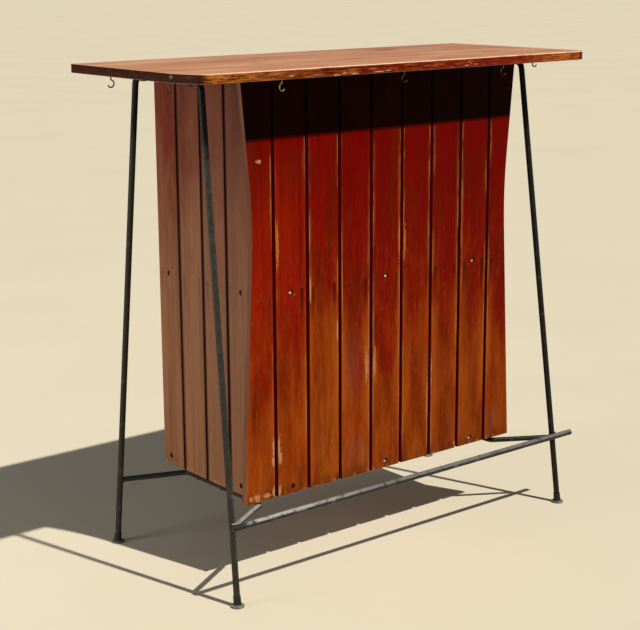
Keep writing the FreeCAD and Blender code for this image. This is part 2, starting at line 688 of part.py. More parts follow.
def make_clip(label, x, y):
    """A saddle clip: a strap bent round the bar, with two screwed flanges against the top."""
    body = new_body(label)
    sketch = new_sketch(body, "XZ_Plane", "-clip_width / 2")
    inner = "(leg_rod / 2 + seat_gap)"
    outer = "(leg_rod / 2 + seat_gap + clip_thickness)"
    level = "-(leg_rod / 2 + seat_gap)"
    under = "-clip_thickness"
    corners = [("-clip_half_length", "0"), ("-clip_half_length", under), ("-" + outer, under),
               ("-" + outer, level), (outer, level), (outer, under), ("clip_half_length", under),
               ("clip_half_length", "0"), (inner, "0"), (inner, level), ("-" + inner, level), ("-" + inner, "0")]
    lowest = point("0", level + " - " + outer)
    lowest_inside = point("0", level + " - " + inner)
    draw_outline(sketch, corners, [(3, (lowest, level)), (9, (lowest_inside, level))])
    pad(body, sketch, "clip_width")
    holes = [("%d * clip_screw_spacing / 2" % way, "0", SMALL_HOLE) for way in (-1, 1)]
    drill(body, "XY_Plane", holes)
    place(body, x, y, TOP_UNDERSIDE)


def make_hook(label, x, y, turn):
    """A cup hook: a shank in the top, a shoulder bent back, then a bowl centred under the shank."""
    shoulder = size("hook_shoulder")
    bowl = size("hook_bowl")
    neck = -size("hook_neck")
    lean = math.acos(shoulder / (shoulder + bowl))
    centre = FreeCAD.Vector(0, 0, neck - (shoulder + bowl) * math.sin(lean))

    def on_shoulder(angle):
        return FreeCAD.Vector(-shoulder * (1 - math.cos(angle)), 0, neck - shoulder * math.sin(angle))

    def on_bowl(angle):
        return centre + FreeCAD.Vector(math.sin(angle), 0, -math.cos(angle)) * bowl

    edges = [Part.LineSegment(FreeCAD.Vector(0, 0, size("top_grip")), on_shoulder(0)).toShape(),
             Part.Arc(on_shoulder(0), on_shoulder(lean / 2), on_shoulder(lean)).toShape(),
             Part.Arc(on_bowl(-math.pi / 2 - lean), on_bowl(0), on_bowl(HOOK_TIP_TURN)).toShape()]
    hook = sweep_bar(label, edges, "hook_wire", SMALL_ROUND_SIDES)
    place(hook, x, y, TOP_UNDERSIDE, turned(turn))
    sub_part(hook, label)


# Fasteners

def small_round(diameter, bottom, height):
    """A small upright peg with a few flat sides."""
    turn = 2 * math.pi / SMALL_ROUND_SIDES
    corners = [FreeCAD.Vector(math.cos(n * turn), math.sin(n * turn), 0) * (diameter / 2) + UP * bottom
               for n in range(SMALL_ROUND_SIDES + 1)]
    return Part.Face(Part.makePolygon(corners)).extrude(UP * height)


def make_screw(diameter, head, head_height, length):
    """A screw pointing along +Z from the seat of its head."""
    return small_round(head, -head_height, head_height).fuse(small_round(diameter, 0, length))


def screw_group(label, screw, places, way):
    """Copies of one screw, each at its seat and pointing one way, as one group."""
    turn = FreeCAD.Rotation(UP, way)
    group = doc.addObject("Part::Feature", label)
    copies = []
    for seat in places:
        copy = screw.copy()
        copy.Placement = FreeCAD.Placement(FreeCAD.Vector(*[size(formula) for formula in seat]), turn)
        copies.append(copy)
    group.Shape = Part.makeCompound(copies)
    sub_part(group, label)


def make_screws():
    length = size("board_thickness - counterbore_depth + panel_screw_grip")
    panel = make_screw(size("panel_screw_diameter"), size("panel_screw_head"),
                       size("panel_screw_head_height"), length)
    seat = "counterbore_depth - panel_face_reach"
    front = [("%d * board_pitch" % (n - FRONT_BOARDS // 2), seat, height)
             for n in SCREWED_FRONT_BOARDS for height in SHELF_HEIGHTS]
    screw_group("front_panel_screws", panel, front, FreeCAD.Vector(0, 1, 0))
    for name, side in (("left", -1), ("right", 1)):
        seat = "%d * (side_face_reach - counterbore_depth)" % side
        places = [(seat, "%s + %s" % (side_board_middle(n), setback), height)
                  for n in SCREWED_SIDE_BOARDS for height, setback in zip(SHELF_HEIGHTS, SIDE_SCREW_SETBACKS)]
        screw_group(name + "_side_screws", panel, places, FreeCAD.Vector(-side, 0, 0))
    small = [size("small_screw_diameter"), size("small_screw_head"), size("small_screw_head_height")]
    clip = make_screw(*small, size("clip_thickness + top_grip"))
    places = [(x, y, TOP_UNDERSIDE + " - clip_thickness") for x, y in clip_screw_places()]
    screw_group("clip_screws", clip, places, UP)
    stretcher = make_screw(*small, size("stretcher_rod + seat_gap + stretcher_screw_grip"))
    places = [(x, y, STRETCHER_HEIGHT + " - stretcher_rod / 2") for side in (-1, 1)
              for x, y in stretcher_screw_places(side)]
    screw_group("stretcher_screws", stretcher, places, UP)


# Assembly

make_top()
make_front_boards()
for side in (-1, 1):
    make_side_boards(side)
make_shelf("bottom_shelf", SHELF_HEIGHTS[0], SIDE_SCREW_SETBACKS[0])
make_shelf("middle_shelf", SHELF_HEIGHTS[1], SIDE_SCREW_SETBACKS[1])
make_cleats()
for name, side in (("left", -1), ("right", 1)):
    make_leg_frame(name, side)
    make_stretcher(name, side)
    for place_name, end in (("front", -1), ("back", 1)):
        make_foot("%s_%s_foot" % (name, place_name), side, end)
make_foot_rail()
for label, x, y in clip_places():
    make_clip(label, x, y)
for label, x, y, turn in hook_places():
    make_hook(label, x, y, turn)
make_screws()
doc.recompute()

# Nothing is written unless every feature and every solid is sound

for thing in doc.Objects:
    if "Invalid" in thing.State or "Error" in thing.State:
        raise RuntimeError("%s failed: %s" % (thing.Label, thing.State))
    if thing.TypeId == "PartDesign::Pocket" and thing.Shape.Volume >= thing.BaseFeature.Shape.Volume:
        raise RuntimeError("%s cuts nothing" % thing.Label)
for thing in subparts:
    if thing.Shape.isNull() or not thing.Shape.isValid() or not thing.Shape.Solids:
        raise RuntimeError("%s has no sound solid" % thing.Label)

os.makedirs("parts", exist_ok=True)
for thing in subparts:
    thing.Shape.exportStep("parts/%s.step" % thing.Label)
print("%d sub-parts written" % len(subparts))
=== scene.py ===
import bpy
import math
import random
from mathutils import Matrix, Vector


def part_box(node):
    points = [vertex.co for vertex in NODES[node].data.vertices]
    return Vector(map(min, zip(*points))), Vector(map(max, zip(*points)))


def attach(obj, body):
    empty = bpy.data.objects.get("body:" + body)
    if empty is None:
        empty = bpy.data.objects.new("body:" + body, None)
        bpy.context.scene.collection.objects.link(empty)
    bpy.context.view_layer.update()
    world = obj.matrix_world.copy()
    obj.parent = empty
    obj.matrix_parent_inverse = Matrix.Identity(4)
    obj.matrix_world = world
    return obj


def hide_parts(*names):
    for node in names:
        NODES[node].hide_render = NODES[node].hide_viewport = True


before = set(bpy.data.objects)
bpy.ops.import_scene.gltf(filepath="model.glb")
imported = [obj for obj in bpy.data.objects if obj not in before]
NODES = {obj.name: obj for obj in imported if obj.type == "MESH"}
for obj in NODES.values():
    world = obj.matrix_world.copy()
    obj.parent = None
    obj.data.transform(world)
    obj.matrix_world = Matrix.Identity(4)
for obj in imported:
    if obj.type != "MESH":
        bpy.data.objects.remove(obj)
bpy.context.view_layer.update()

# Places and sizes of the bar, in metres

TOP_LOW, TOP_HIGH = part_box("bar_top")
TOP_UNDERSIDE = TOP_LOW.z
FACE_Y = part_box("front_board_2")[0].y
FRONT_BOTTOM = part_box("front_board_2")[0].z
SIDE_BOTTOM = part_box("left_side_board_1")[0].z
SIDE_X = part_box("right_side_board_1")[1].x
BOARD_THICKNESS = 0.012
BOARD_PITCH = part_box("front_board_3")[0].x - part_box("front_board_2")[0].x
BOARD_SLOT = 0.0065
SIDE_SEAM_SHIFT = 0.0005
FIRST_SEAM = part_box("front_board_2")[0].x - BOARD_SLOT / 2
FIRST_SIDE_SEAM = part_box("left_side_board_2")[1].y - BOARD_PITCH - SIDE_SEAM_SHIFT
SHELF_HEIGHTS = [(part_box(shelf)[0].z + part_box(shelf)[1].z) / 2 for shelf in ("middle_shelf", "bottom_shelf")]
NAIL_OFF_SEAM = 0.0145
SCREW_SEAT = 0.005
LOW_SCREW_SETBACK = 0.010
# Above this height the front's finish has the top's shadow painted in, as the photograph shows it
SHADE_LINE = 0.885


# Camera and light

CAMERA_PLACE = (-2.0433, -2.4429, 1.2210)
# Turn, dip and roll, in degrees
CAMERA_ANGLES = (-38.96, 13.25, -0.32)
LENS, SENSOR_WIDTH = 85.42, 36
SKY_COLOUR, SKY_STRENGTH = (0.88, 0.90, 0.90, 1), 0.14


def set_camera():
    """The photograph's view: its lens, place, and small roll."""
    turn, dip, roll = [math.radians(angle) for angle in CAMERA_ANGLES]
    forward = Vector((-math.sin(turn) * math.cos(dip), math.cos(turn) * math.cos(dip), -math.sin(dip)))
    level = Vector((math.cos(turn), math.sin(turn), 0))
    upright = level.cross(forward)
    right = math.cos(roll) * level + math.sin(roll) * upright
    up = math.cos(roll) * upright - math.sin(roll) * level
    camera = bpy.data.cameras.new("photo_view")
    camera.sensor_width = SENSOR_WIDTH
    camera.lens = LENS
    view = bpy.data.objects.new("photo_view", camera)
    aim = Matrix((right, up, -forward)).transposed().to_4x4()
    view.matrix_world = Matrix.Translation(CAMERA_PLACE) @ aim
    bpy.context.scene.collection.objects.link(view)
    bpy.context.scene.camera = view


def add_lamp(name, kind, place, target, power, colour, spread):
    lamp = bpy.data.lights.new(name, kind)
    lamp.energy = power
    lamp.color = colour
    if kind == "SUN":
        lamp.angle = spread
    else:
        lamp.shape = "DISK"
        lamp.size = spread
    holder = bpy.data.objects.new(name, lamp)
    holder.location = place
    holder.rotation_euler = (Vector(target) - Vector(place)).to_track_quat("-Z", "Y").to_euler()
    bpy.context.scene.collection.objects.link(holder)


def light_the_set():
    """A sun high in front, a soft lamp off the left end, and a dim even sky."""
    add_lamp("key_light", "SUN", place=(1.0, -3.0, 5.0), target=(0.0, 0.0, 0.0), power=3.75,
             colour=(1.0, 0.95, 0.86), spread=math.radians(0.9))
    add_lamp("side_fill", "AREA", place=(-4.5, 0.8, 1.0), target=(-0.3, 0.0, 0.55), power=70,
             colour=(1.0, 0.98, 0.95), spread=1.8)
    world = bpy.data.worlds.new("studio")
    world.use_nodes = True
    background = world.node_tree.nodes["Background"]
    background.inputs["Color"].default_value = SKY_COLOUR
    background.inputs["Strength"].default_value = SKY_STRENGTH
    bpy.context.scene.world = world
    bpy.context.scene.view_settings.view_transform = "Standard"


# Materials

def plug(tree, value, socket):
    """Sets a socket to a constant, or links another node's output to it."""
    if isinstance(value, bpy.types.NodeSocket):
        tree.links.new(value, socket)
    elif isinstance(value, tuple) and len(value) == 3 and socket.type == "RGBA":
        socket.default_value = (*value, 1)
    else:
        socket.default_value = value


# How many rags the edges of a mark have in a metre across and up
RAGS_ACROSS, RAGS_UP = 300.0, 150.0


class Finish:
    """One procedural material: a shader and the nodes that feed it, on Object coordinates.

    A mask is a value that is 1 where something shows and 0 where it doesn't. Places are in metres.
    """

    def __init__(self, name, gloss=0.5):
        self.material = bpy.data.materials.new(name)
        self.material.use_nodes = True
        self.tree = self.material.node_tree
        self.shader = self.tree.nodes["Principled BSDF"]
        self.shader.inputs["Specular IOR Level"].default_value = gloss
        self.colour = None
        where = self.add("ShaderNodeTexCoord")
        self.here = where.outputs["Object"]
        apart = self.add("ShaderNodeSeparateXYZ", {"Vector": self.here})
        self.x, self.y, self.z = apart.outputs
        facing = self.add("ShaderNodeSeparateXYZ", {"Vector": where.outputs["Normal"]})
        self.facing_x, self.facing_z = facing.outputs["X"], facing.outputs["Z"]

    def add(self, kind, inputs=None, **settings):
        node = self.tree.nodes.new(kind)
        for key, value in settings.items():
            setattr(node, key, value)
        for key, value in (inputs or {}).items():
            plug(self.tree, value, node.inputs[key])
        return node

    def sum(self, operation, first, second=0.0, third=0.0):
        node = self.add("ShaderNodeMath", operation=operation)
        for socket, value in zip(node.inputs, (first, second, third)):
            plug(self.tree, value, socket)
        return node.outputs[0]

    def times(self, first, *others):
        for other in others:
            first = self.sum("MULTIPLY", first, other)
        return first

    def either(self, first, *others):
        for other in others:
            first = self.sum("MAXIMUM", first, other)
        return first

    def size_of(self, value):
        return self.sum("ABSOLUTE", value)

    def past(self, value, start):
        return self.sum("SUBTRACT", value, start)

    def plus(self, base, share, value):
        """The base, with a share of a value on top of it."""
        return self.sum("MULTIPLY_ADD", value, share, base)

    def sway(self, value, share, noise):
        """A value moved up and down by some noise."""
        return self.plus(value, share, self.past(noise, 0.5))

    def slide(self, value, low, high, start=0.0, finish=1.0):
        """A value eased from one range to another: from start at low to finish at high."""
        node = self.add("ShaderNodeMapRange", {"Value": value, "From Min": low, "From Max": high,
                                               "To Min": start, "To Max": finish},
                        interpolation_type="SMOOTHSTEP")
        return node.outputs["Result"]

    def fade(self, value, low, high):
        return self.slide(value, low, high, 1.0, 0.0)

    def above(self, low, high):
        return self.slide(self.z, low, high)

    def below(self, low, high):
        return self.fade(self.z, low, high)

    def right_of(self, left, right):
        return self.slide(self.x, left, right)

    def left_of(self, left, right):
        return self.fade(self.x, left, right)

    def in_front_of(self, front, back):
        return self.fade(self.y, front, back)

    def point(self, x, y, z):
        return self.add("ShaderNodeCombineXYZ", {"X": x, "Y": y, "Z": z}).outputs[0]

    def noise(self, where, scale=1.0, detail=3.0, rough=0.55):
        node = self.add("ShaderNodeTexNoise", {"Vector": where, "Scale": scale, "Detail": detail,
                                               "Roughness": rough})
        return node.outputs["Fac"]

    def stretched(self, x, y, z, seed=0.0, detail=3.0, rough=0.55):
        """Noise drawn out along an axis: x, y and z are how many grains there are in a metre."""
        where = self.point(self.plus(seed, x, self.x), self.plus(seed, y, self.y), self.plus(seed, z, self.z))
        return self.noise(where, 1.0, detail, rough)

    def tones(self, value, stops):
        """Colours along a value, each with the place where it is pure."""
        node = self.add("ShaderNodeValToRGB", {"Fac": value})
        bar = node.color_ramp
        while len(bar.elements) < len(stops):
            bar.elements.new(0.5)
        for element, (place, colour) in zip(bar.elements, stops):
            element.position = place
            element.color = (*colour, 1)
        return node.outputs["Color"]

    def blend(self, share, first, second):
        node = self.add("ShaderNodeMix", data_type="RGBA")
        plug(self.tree, share, node.inputs["Factor"])
        plug(self.tree, first, node.inputs[6])
        plug(self.tree, second, node.inputs[7])
        return node.outputs[2]

    def stain(self, tint, *shares):
        """Lays a tint over the colour so far, by the product of its shares: masks, and how strong it is."""
        self.colour = self.blend(self.times(*shares), self.colour, tint)

    def patches(self, across, places, inner=0.70, outer=1.15, raggedness=3.0):
        """Ragged marks on an upright face.

        Each has its place across and up, half its width and half its height.
        """
        where = self.point(self.times(across, RAGS_ACROSS), 0.0, self.times(self.z, RAGS_UP))
        ragged = self.noise(where, 1.0, 5.0, 0.65)
        marks = 0.0
        for middle, height, half_width, half_height in places:
            aside = self.sum("DIVIDE", self.past(across, middle), half_width)
            above = self.sum("DIVIDE", self.past(self.z, height), half_height)
            off = self.sum("SQRT", self.plus(self.times(above, above), aside, aside))
            marks = self.either(marks, self.fade(self.sway(off, raggedness, ragged), inner, outer))
        return marks

    def wear(self, rough, height=None, depth=0.0005):
        """Feeds the shader with the colour, the roughness and the height of the surface."""
        plug(self.tree, self.colour, self.shader.inputs["Base Color"])
        plug(self.tree, rough, self.shader.inputs["Roughness"])
        if height is not None:
            bump = self.add("ShaderNodeBump", {"Height": height, "Distance": depth, "Strength": 1.0})
            plug(self.tree, bump.outputs["Normal"], self.shader.inputs["Normal"])
        return self.material


PLAIN_BACK = [(0.3, (0.11, 0.040, 0.020)), (0.7, (0.22, 0.085, 0.045))]
# How deep behind the face a slot turns dark, an arris ends and the back begins
SLOT_DEPTHS, ARRIS_DEPTHS = (0.0016, 0.0030), (0.010, 0.0115)
BACK_DEPTHS = (BOARD_THICKNESS - 0.0006, BOARD_THICKNESS - 0.0003)
NAIL_RUN_WIDTHS = (0.001, 0.006)
# How far apart two boards and two edges lie in the noise, and how many grains and specks a metre of depth has
BOARD_SHIFT, EDGE_SHIFT = 40.0, 3.7
DEEP_GRAINS, DEEP_SPECKS = 60.0, 5.0


class BoardFinish(Finish):
    """What the front and the side boards share: where a point is on its board, and each board's own grain."""

    def __init__(self, name, gloss, across, inward, first_seam, seed):
        super().__init__(name, gloss)
        self.across = getattr(self, across)
        self.inward = inward(self)
        place = self.sum("DIVIDE", self.past(self.across, first_seam), BOARD_PITCH)
        number = self.sum("FLOOR", place)
        self.half = self.sum("FLOOR", self.times(place, 2.0))
        phase = self.sum("FRACT", self.sum("ADD", place, 0.5))
        self.off_seam = self.times(self.size_of(self.past(phase, 0.5)), BOARD_PITCH)
        self.off_edge = self.past(self.off_seam, BOARD_SLOT / 2)
        own = self.add("ShaderNodeTexWhiteNoise", {"W": self.sum("ADD", number, seed)},
                       noise_dimensions="1D")
        self.chance = own.outputs["Value"]
        self.shift = self.times(self.chance, BOARD_SHIFT)
        self.streak = self.grain(wide=110.0, tall=2.4, detail=5.0, rough=0.62)
        self.fine = self.grain(wide=520.0, tall=9.0, detail=3.0, rough=0.55)
        self.cloud = self.grain(wide=17.0, tall=6.0, detail=3.0, rough=0.55)
        self.mottle = self.grain(wide=55.0, tall=14.0, detail=5.0, rough=0.65)
        self.fleck = self.grain(wide=210.0, tall=40.0, detail=4.0, rough=0.7)
        self.height = self.add("ShaderNodeMapRange", {"Value": self.z, "From Min": FRONT_BOTTOM,
                                                      "From Max": TOP_UNDERSIDE}).outputs[0]
        self.slot = self.slide(self.inward, *SLOT_DEPTHS)
        self.back = self.slide(self.inward, *BACK_DEPTHS)

    def grain(self, wide, tall, detail, rough):
        """Noise that starts afresh on each board."""
        where = self.point(self.plus(self.shift, wide, self.across), self.times(self.inward, DEEP_GRAINS),
                           self.plus(self.shift, tall, self.z))
        return self.noise(where, 1.0, detail, rough)

    def along_edges(self, wide, tall):
        """Noise that runs along the edges of the boards, each edge with its own."""
        where = self.point(self.times(self.half, EDGE_SHIFT), self.times(self.off_seam, wide),
                           self.times(self.z, tall))
        return self.noise(where, 1.0, 4.0, 0.62)

    def near_edge(self, low, high):
        return self.fade(self.off_edge, low, high)

    def off_the_edge(self, low, high):
        return self.slide(self.off_edge, low, high)

    def dark_arris(self, low, high):
        """The rounded edge of a board, from its face to just short of its back."""
        return self.times(self.near_edge(low, high), self.fade(self.inward, *ARRIS_DEPTHS))

    def specks(self, wide, tall, size, share):
        """Small scattered marks: how many in a metre each way, how large, and what share of them shows."""
        where = self.point(self.times(self.across, wide), self.times(self.inward, DEEP_SPECKS),
                           self.times(self.z, tall))
        cells = self.add("ShaderNodeTexVoronoi", {"Vector": where, "Scale": 1.0})
        pick = self.add("ShaderNodeSeparateColor", {"Color": cells.outputs["Color"]}).outputs[0]
        return self.times(self.fade(cells.outputs["Distance"], 0.6 * size, size),
                          self.slide(pick, 1 - share, 1.01 - share))

    def foot_wear(self, where, bottom, reach, start):
        """Bare wood along the lower ends of the boards, ragged along the top."""
        ragged = self.noise(where, 1.0, 3.0)
        return self.times(self.below(bottom + 0.002, bottom + reach), self.slide(ragged, start, 0.60))

    def nail_runs(self, tails, nails, drips):
        """Marks that have run down from the nails, thinner towards their tails."""
        under_nail = self.fade(self.size_of(self.past(self.off_seam, NAIL_OFF_SEAM)), *NAIL_RUN_WIDTHS)
        return self.times(under_nail, self.above(*tails), self.below(*nails),
                          self.slide(self.along_edges(40.0, 2.5), *drips))

    def board_tone(self, **noises):
        """How far up the boards a point is, moved up and down by shares of their noises."""
        tone = self.height
        for noise, share in noises.items():
            tone = self.sway(tone, share, getattr(self, noise))
        return tone

    def finish_back(self):
        self.stain(self.tones(self.streak, PLAIN_BACK), self.back)


# Finish of the front boards: each mark has its place across and up, half its width and half its height

BARE_PATCHES = [(-0.325, 0.844, 0.0065, 0.004), (-0.2975, 0.268, 0.0035, 0.024),
                (-0.299, 0.240, 0.0045, 0.012), (-0.284, 0.262, 0.0035, 0.030),
                (-0.281, 0.243, 0.0040, 0.014), (0.040, 0.320, 0.0035, 0.045),
                (0.128, 0.345, 0.0040, 0.050), (-0.356, 0.172, 0.005, 0.006),
                (-0.341, 0.173, 0.008, 0.007), (-0.316, 0.172, 0.009, 0.006),
                (-0.299, 0.176, 0.004, 0.012), (-0.284, 0.176, 0.004, 0.011),
                (0.205, 0.172, 0.006, 0.006), (-0.2015, 0.579, 0.0022, 0.030),
                (-0.1318, 0.484, 0.0020, 0.026), (-0.0530, 0.388, 0.0017, 0.028),
                (-0.0335, 0.395, 0.0015, 0.026)]
GOLDEN_PATCHES = [(-0.2830, 0.673, 0.0035, 0.046), (0.0352, 0.652, 0.0024, 0.042),
                  (0.0510, 0.645, 0.0024, 0.036), (0.1185, 0.290, 0.0026, 0.052),
                  (-0.0540, 0.400, 0.0045, 0.036), (-0.0310, 0.400, 0.0040, 0.036)]
# Patches of painted sheen on the front: a pale pink reflection painted into the colour
PAINTED_SHEEN_PATCHES = [(-0.095, 0.400, 0.034, 0.075), (-0.085, 0.215, 0.036, 0.040),
                (0.205, 0.215, 0.030, 0.035), (0.315, 0.205, 0.026, 0.035)]

# Their stain from the foot of the boards up, and their other colours
FRONT_STAIN = [(0.0, (0.32, 0.066, 0.006)), (0.14, (0.27, 0.044, 0.003)), (0.28, (0.245, 0.032, 0.002)),
               (0.40, (0.220, 0.011, 0.001)), (0.50, (0.185, 0.003, 0.0005)),
               (0.75, (0.165, 0.0008, 0.0004)), (1.0, (0.14, 0.0006, 0.0004))]
SHADED_RED = (0.100, 0.008, 0.001)
LIT_ORANGE = (0.36, 0.072, 0.006)
VEIN_RED = (0.070, 0.003, 0.0005)
GRIME_BROWN = (0.075, 0.010, 0.001)
RAY_GOLD = (0.40, 0.105, 0.010)
# Pale pink of the painted sheen patches
PAINTED_SHEEN_PINK = (0.24, 0.070, 0.045)
DIM_RED = (0.085, 0.003, 0.0005)
WARM_RED = (0.32, 0.014, 0.001)
FLECK_RED = (0.075, 0.004, 0.0005)
FLECK_GOLD = (0.42, 0.120, 0.018)
GLOW_ORANGE = (0.40, 0.090, 0.008)
RUBBED_GOLD = (0.30, 0.095, 0.012)
WORN_TAN = (0.40, 0.17, 0.060)
WORN_GOLD = (0.46, 0.165, 0.040)
DIRT_BROWN = (0.055, 0.016, 0.006)
BARE_WOOD = (0.50, 0.27, 0.12)
RUN_BLACK = (0.03, 0.002, 0.0005)
SHADOW_BAND = [(0.35, (0.007, 0.0004, 0.0003)), (0.65, (0.012, 0.0005, 0.0004))]
SLOT_RED = (0.115, 0.0012, 0.0010)
SLOT_SHADED = (0.010, 0.0006, 0.0006)
SAWN_PINK = [(0.3, (0.15, 0.060, 0.040)), (0.7, (0.24, 0.110, 0.078))]


def stain_front(f):
    """Red stain, browner and lighter low down, streaked and flecked with the grain, with patches of painted
    sheen.
    """
    f.colour = f.tones(f.board_tone(cloud=0.80, mottle=0.55, streak=0.20, chance=0.20), FRONT_STAIN)
    shade = f.grain(wide=26.0, tall=5.0, detail=4.0, rough=0.6)
    f.stain(SHADED_RED, f.fade(shade, 0.36, 0.54), 0.55)
    f.stain(LIT_ORANGE, f.slide(shade, 0.50, 0.68), f.below(0.30, 0.55), 0.5)
    vein = f.grain(wide=85.0, tall=1.6, detail=5.0, rough=0.66)
    f.stain(VEIN_RED, f.fade(vein, 0.34, 0.56), f.slide(f.z, 0.20, 0.75, 0.20, 0.42))
    f.stain(GRIME_BROWN, f.fade(f.mottle, 0.34, 0.48), f.below(0.42, 0.80), 0.22)
    low_down = f.below(0.45, 0.85)
    f.stain(RAY_GOLD, f.slide(f.fine, 0.48, 0.66), f.slide(f.mottle, 0.45, 0.60), low_down, 0.30)
    # Painted reflection: pale pink sheen patches on the front
    f.stain(PAINTED_SHEEN_PINK, f.patches(f.x, PAINTED_SHEEN_PATCHES, inner=0.0, outer=1.4, raggedness=0.6), 0.28)
    f.stain(DIM_RED, f.right_of(-0.10, 0.28), 0.22)
    f.stain(WARM_RED, f.left_of(-0.212, -0.205), f.above(0.42, 0.60), f.below(0.70, 0.92),
            f.slide(f.streak, 0.30, 0.60), 0.55)
    f.stain(FLECK_RED, f.fade(f.fleck, 0.34, 0.52), 0.16)
    f.stain(FLECK_GOLD, f.slide(f.fleck, 0.50, 0.68), low_down, 0.14)


def wear_front_edges(f, below_shade):
    """Golden wear along the edges of the boards; gives back the thin line that is worn deepest."""
    f.stain(GLOW_ORANGE, f.near_edge(0.002, 0.026), f.above(0.20, 0.32), f.below(0.42, 0.64),
            f.slide(f.along_edges(20.0, 4.0), 0.36, 0.60), 0.5)
    rubbed = f.times(f.slide(f.along_edges(8.0, 3.0), 0.45, 0.60, 0.05, 1.0), below_shade,
                     f.below(0.80, 0.96))
    f.stain(RUBBED_GOLD, f.near_edge(0.003, 0.011), f.slide(f.along_edges(130.0, 9.0), 0.40, 0.60),
            rubbed, 0.6)
    worn_line = f.times(f.off_the_edge(0.0008, 0.0016), f.near_edge(0.0026, 0.0048),
                        f.slide(f.along_edges(260.0, 22.0), 0.40, 0.58), rubbed)
    f.stain(WORN_TAN, worn_line, 0.8)
    f.stain(WORN_GOLD, f.patches(f.x, GOLDEN_PATCHES), 0.7)
    return worn_line


def mark_front(f, below_shade):
    """Nicks, dirt, bare wood and runs from the nails; gives back where the wood is bare."""
    nick = f.times(f.specks(wide=17.0, tall=9.0, size=0.036, share=0.13), below_shade)
    where = f.point(f.times(f.x, 75.0), f.times(f.inward, 40.0), f.times(f.z, 60.0))
    foot_wear = f.times(f.foot_wear(where, FRONT_BOTTOM, reach=0.010, start=0.54),
                        f.slide(f.x, -0.29, -0.26, 1.0, 0.35))
    f.stain(DIRT_BROWN, f.below(FRONT_BOTTOM + 0.004, FRONT_BOTTOM + 0.030),
            f.slide(f.mottle, 0.40, 0.58), 0.6)
    bare = f.either(nick, foot_wear, f.patches(f.x, BARE_PATCHES))
    f.stain(BARE_WOOD, bare, 0.75)
    f.stain(RUN_BLACK, f.nail_runs(tails=(0.49, 0.58), nails=(0.582, 0.588), drips=(0.42, 0.58)), 0.85)
    return bare


def front_wood_finish():
    """Red stain, browned low down, worn golden along the board edges, with the top's shadow painted in."""
    f = BoardFinish("front_wood", gloss=0.02, across="x", inward=lambda b: b.past(b.y, FACE_Y),
                    first_seam=FIRST_SEAM, seed=3.0)
    below_shade = f.below(SHADE_LINE - 0.008, SHADE_LINE)
    stain_front(f)
    worn_line = wear_front_edges(f, below_shade)
    bare = mark_front(f, below_shade)
    under_top = f.slide(f.sway(f.z, 0.004, f.fine), SHADE_LINE - 0.003, SHADE_LINE + 0.004)
    f.stain(f.tones(f.cloud, SHADOW_BAND), under_top)
    f.stain(f.blend(under_top, SLOT_RED, SLOT_SHADED), f.either(f.slot, f.dark_arris(0.0006, 0.0020)), 0.97)
    sawn = f.times(f.slide(f.size_of(f.x), 0.330, 0.336), f.slide(f.size_of(f.facing_x), 0.4, 0.7))
    f.stain(f.tones(f.streak, SAWN_PINK), sawn)
    f.finish_back()
    rough = f.plus(f.plus(0.28, 0.25, f.cloud), 0.35, f.either(bare, f.slot))
    relief = f.plus(f.plus(f.cloud, 0.5, f.streak), -1.0, f.either(bare, f.times(worn_line, 0.4)))
    return f.wear(rough, relief)


# Finish of the side boards: their stain and painted sheen from the foot of the boards up, and their other
# colours

SIDE_STAIN_AND_SHEEN = [(0.0, (0.33, 0.142, 0.062)), (0.5, (0.295, 0.125, 0.065)), (0.70, (0.230, 0.073, 0.037)),
              (0.88, (0.160, 0.026, 0.010)), (1.0, (0.13, 0.012, 0.005))]
SIDE_VEIN = (0.15, 0.050, 0.024)
SIDE_FLECK = (0.13, 0.045, 0.022)
DULL_BROWN = (0.15, 0.075, 0.050)
SHADED_BROWN = (0.06, 0.016, 0.009)
SIDE_EDGE = (0.32, 0.14, 0.07)
SIDE_BARE = (0.46, 0.27, 0.17)
SIDE_RUN = (0.05, 0.014, 0.008)
SIDE_ARRIS = (0.030, 0.006, 0.004)
SIDE_SLOT = (0.030, 0.004, 0.003)


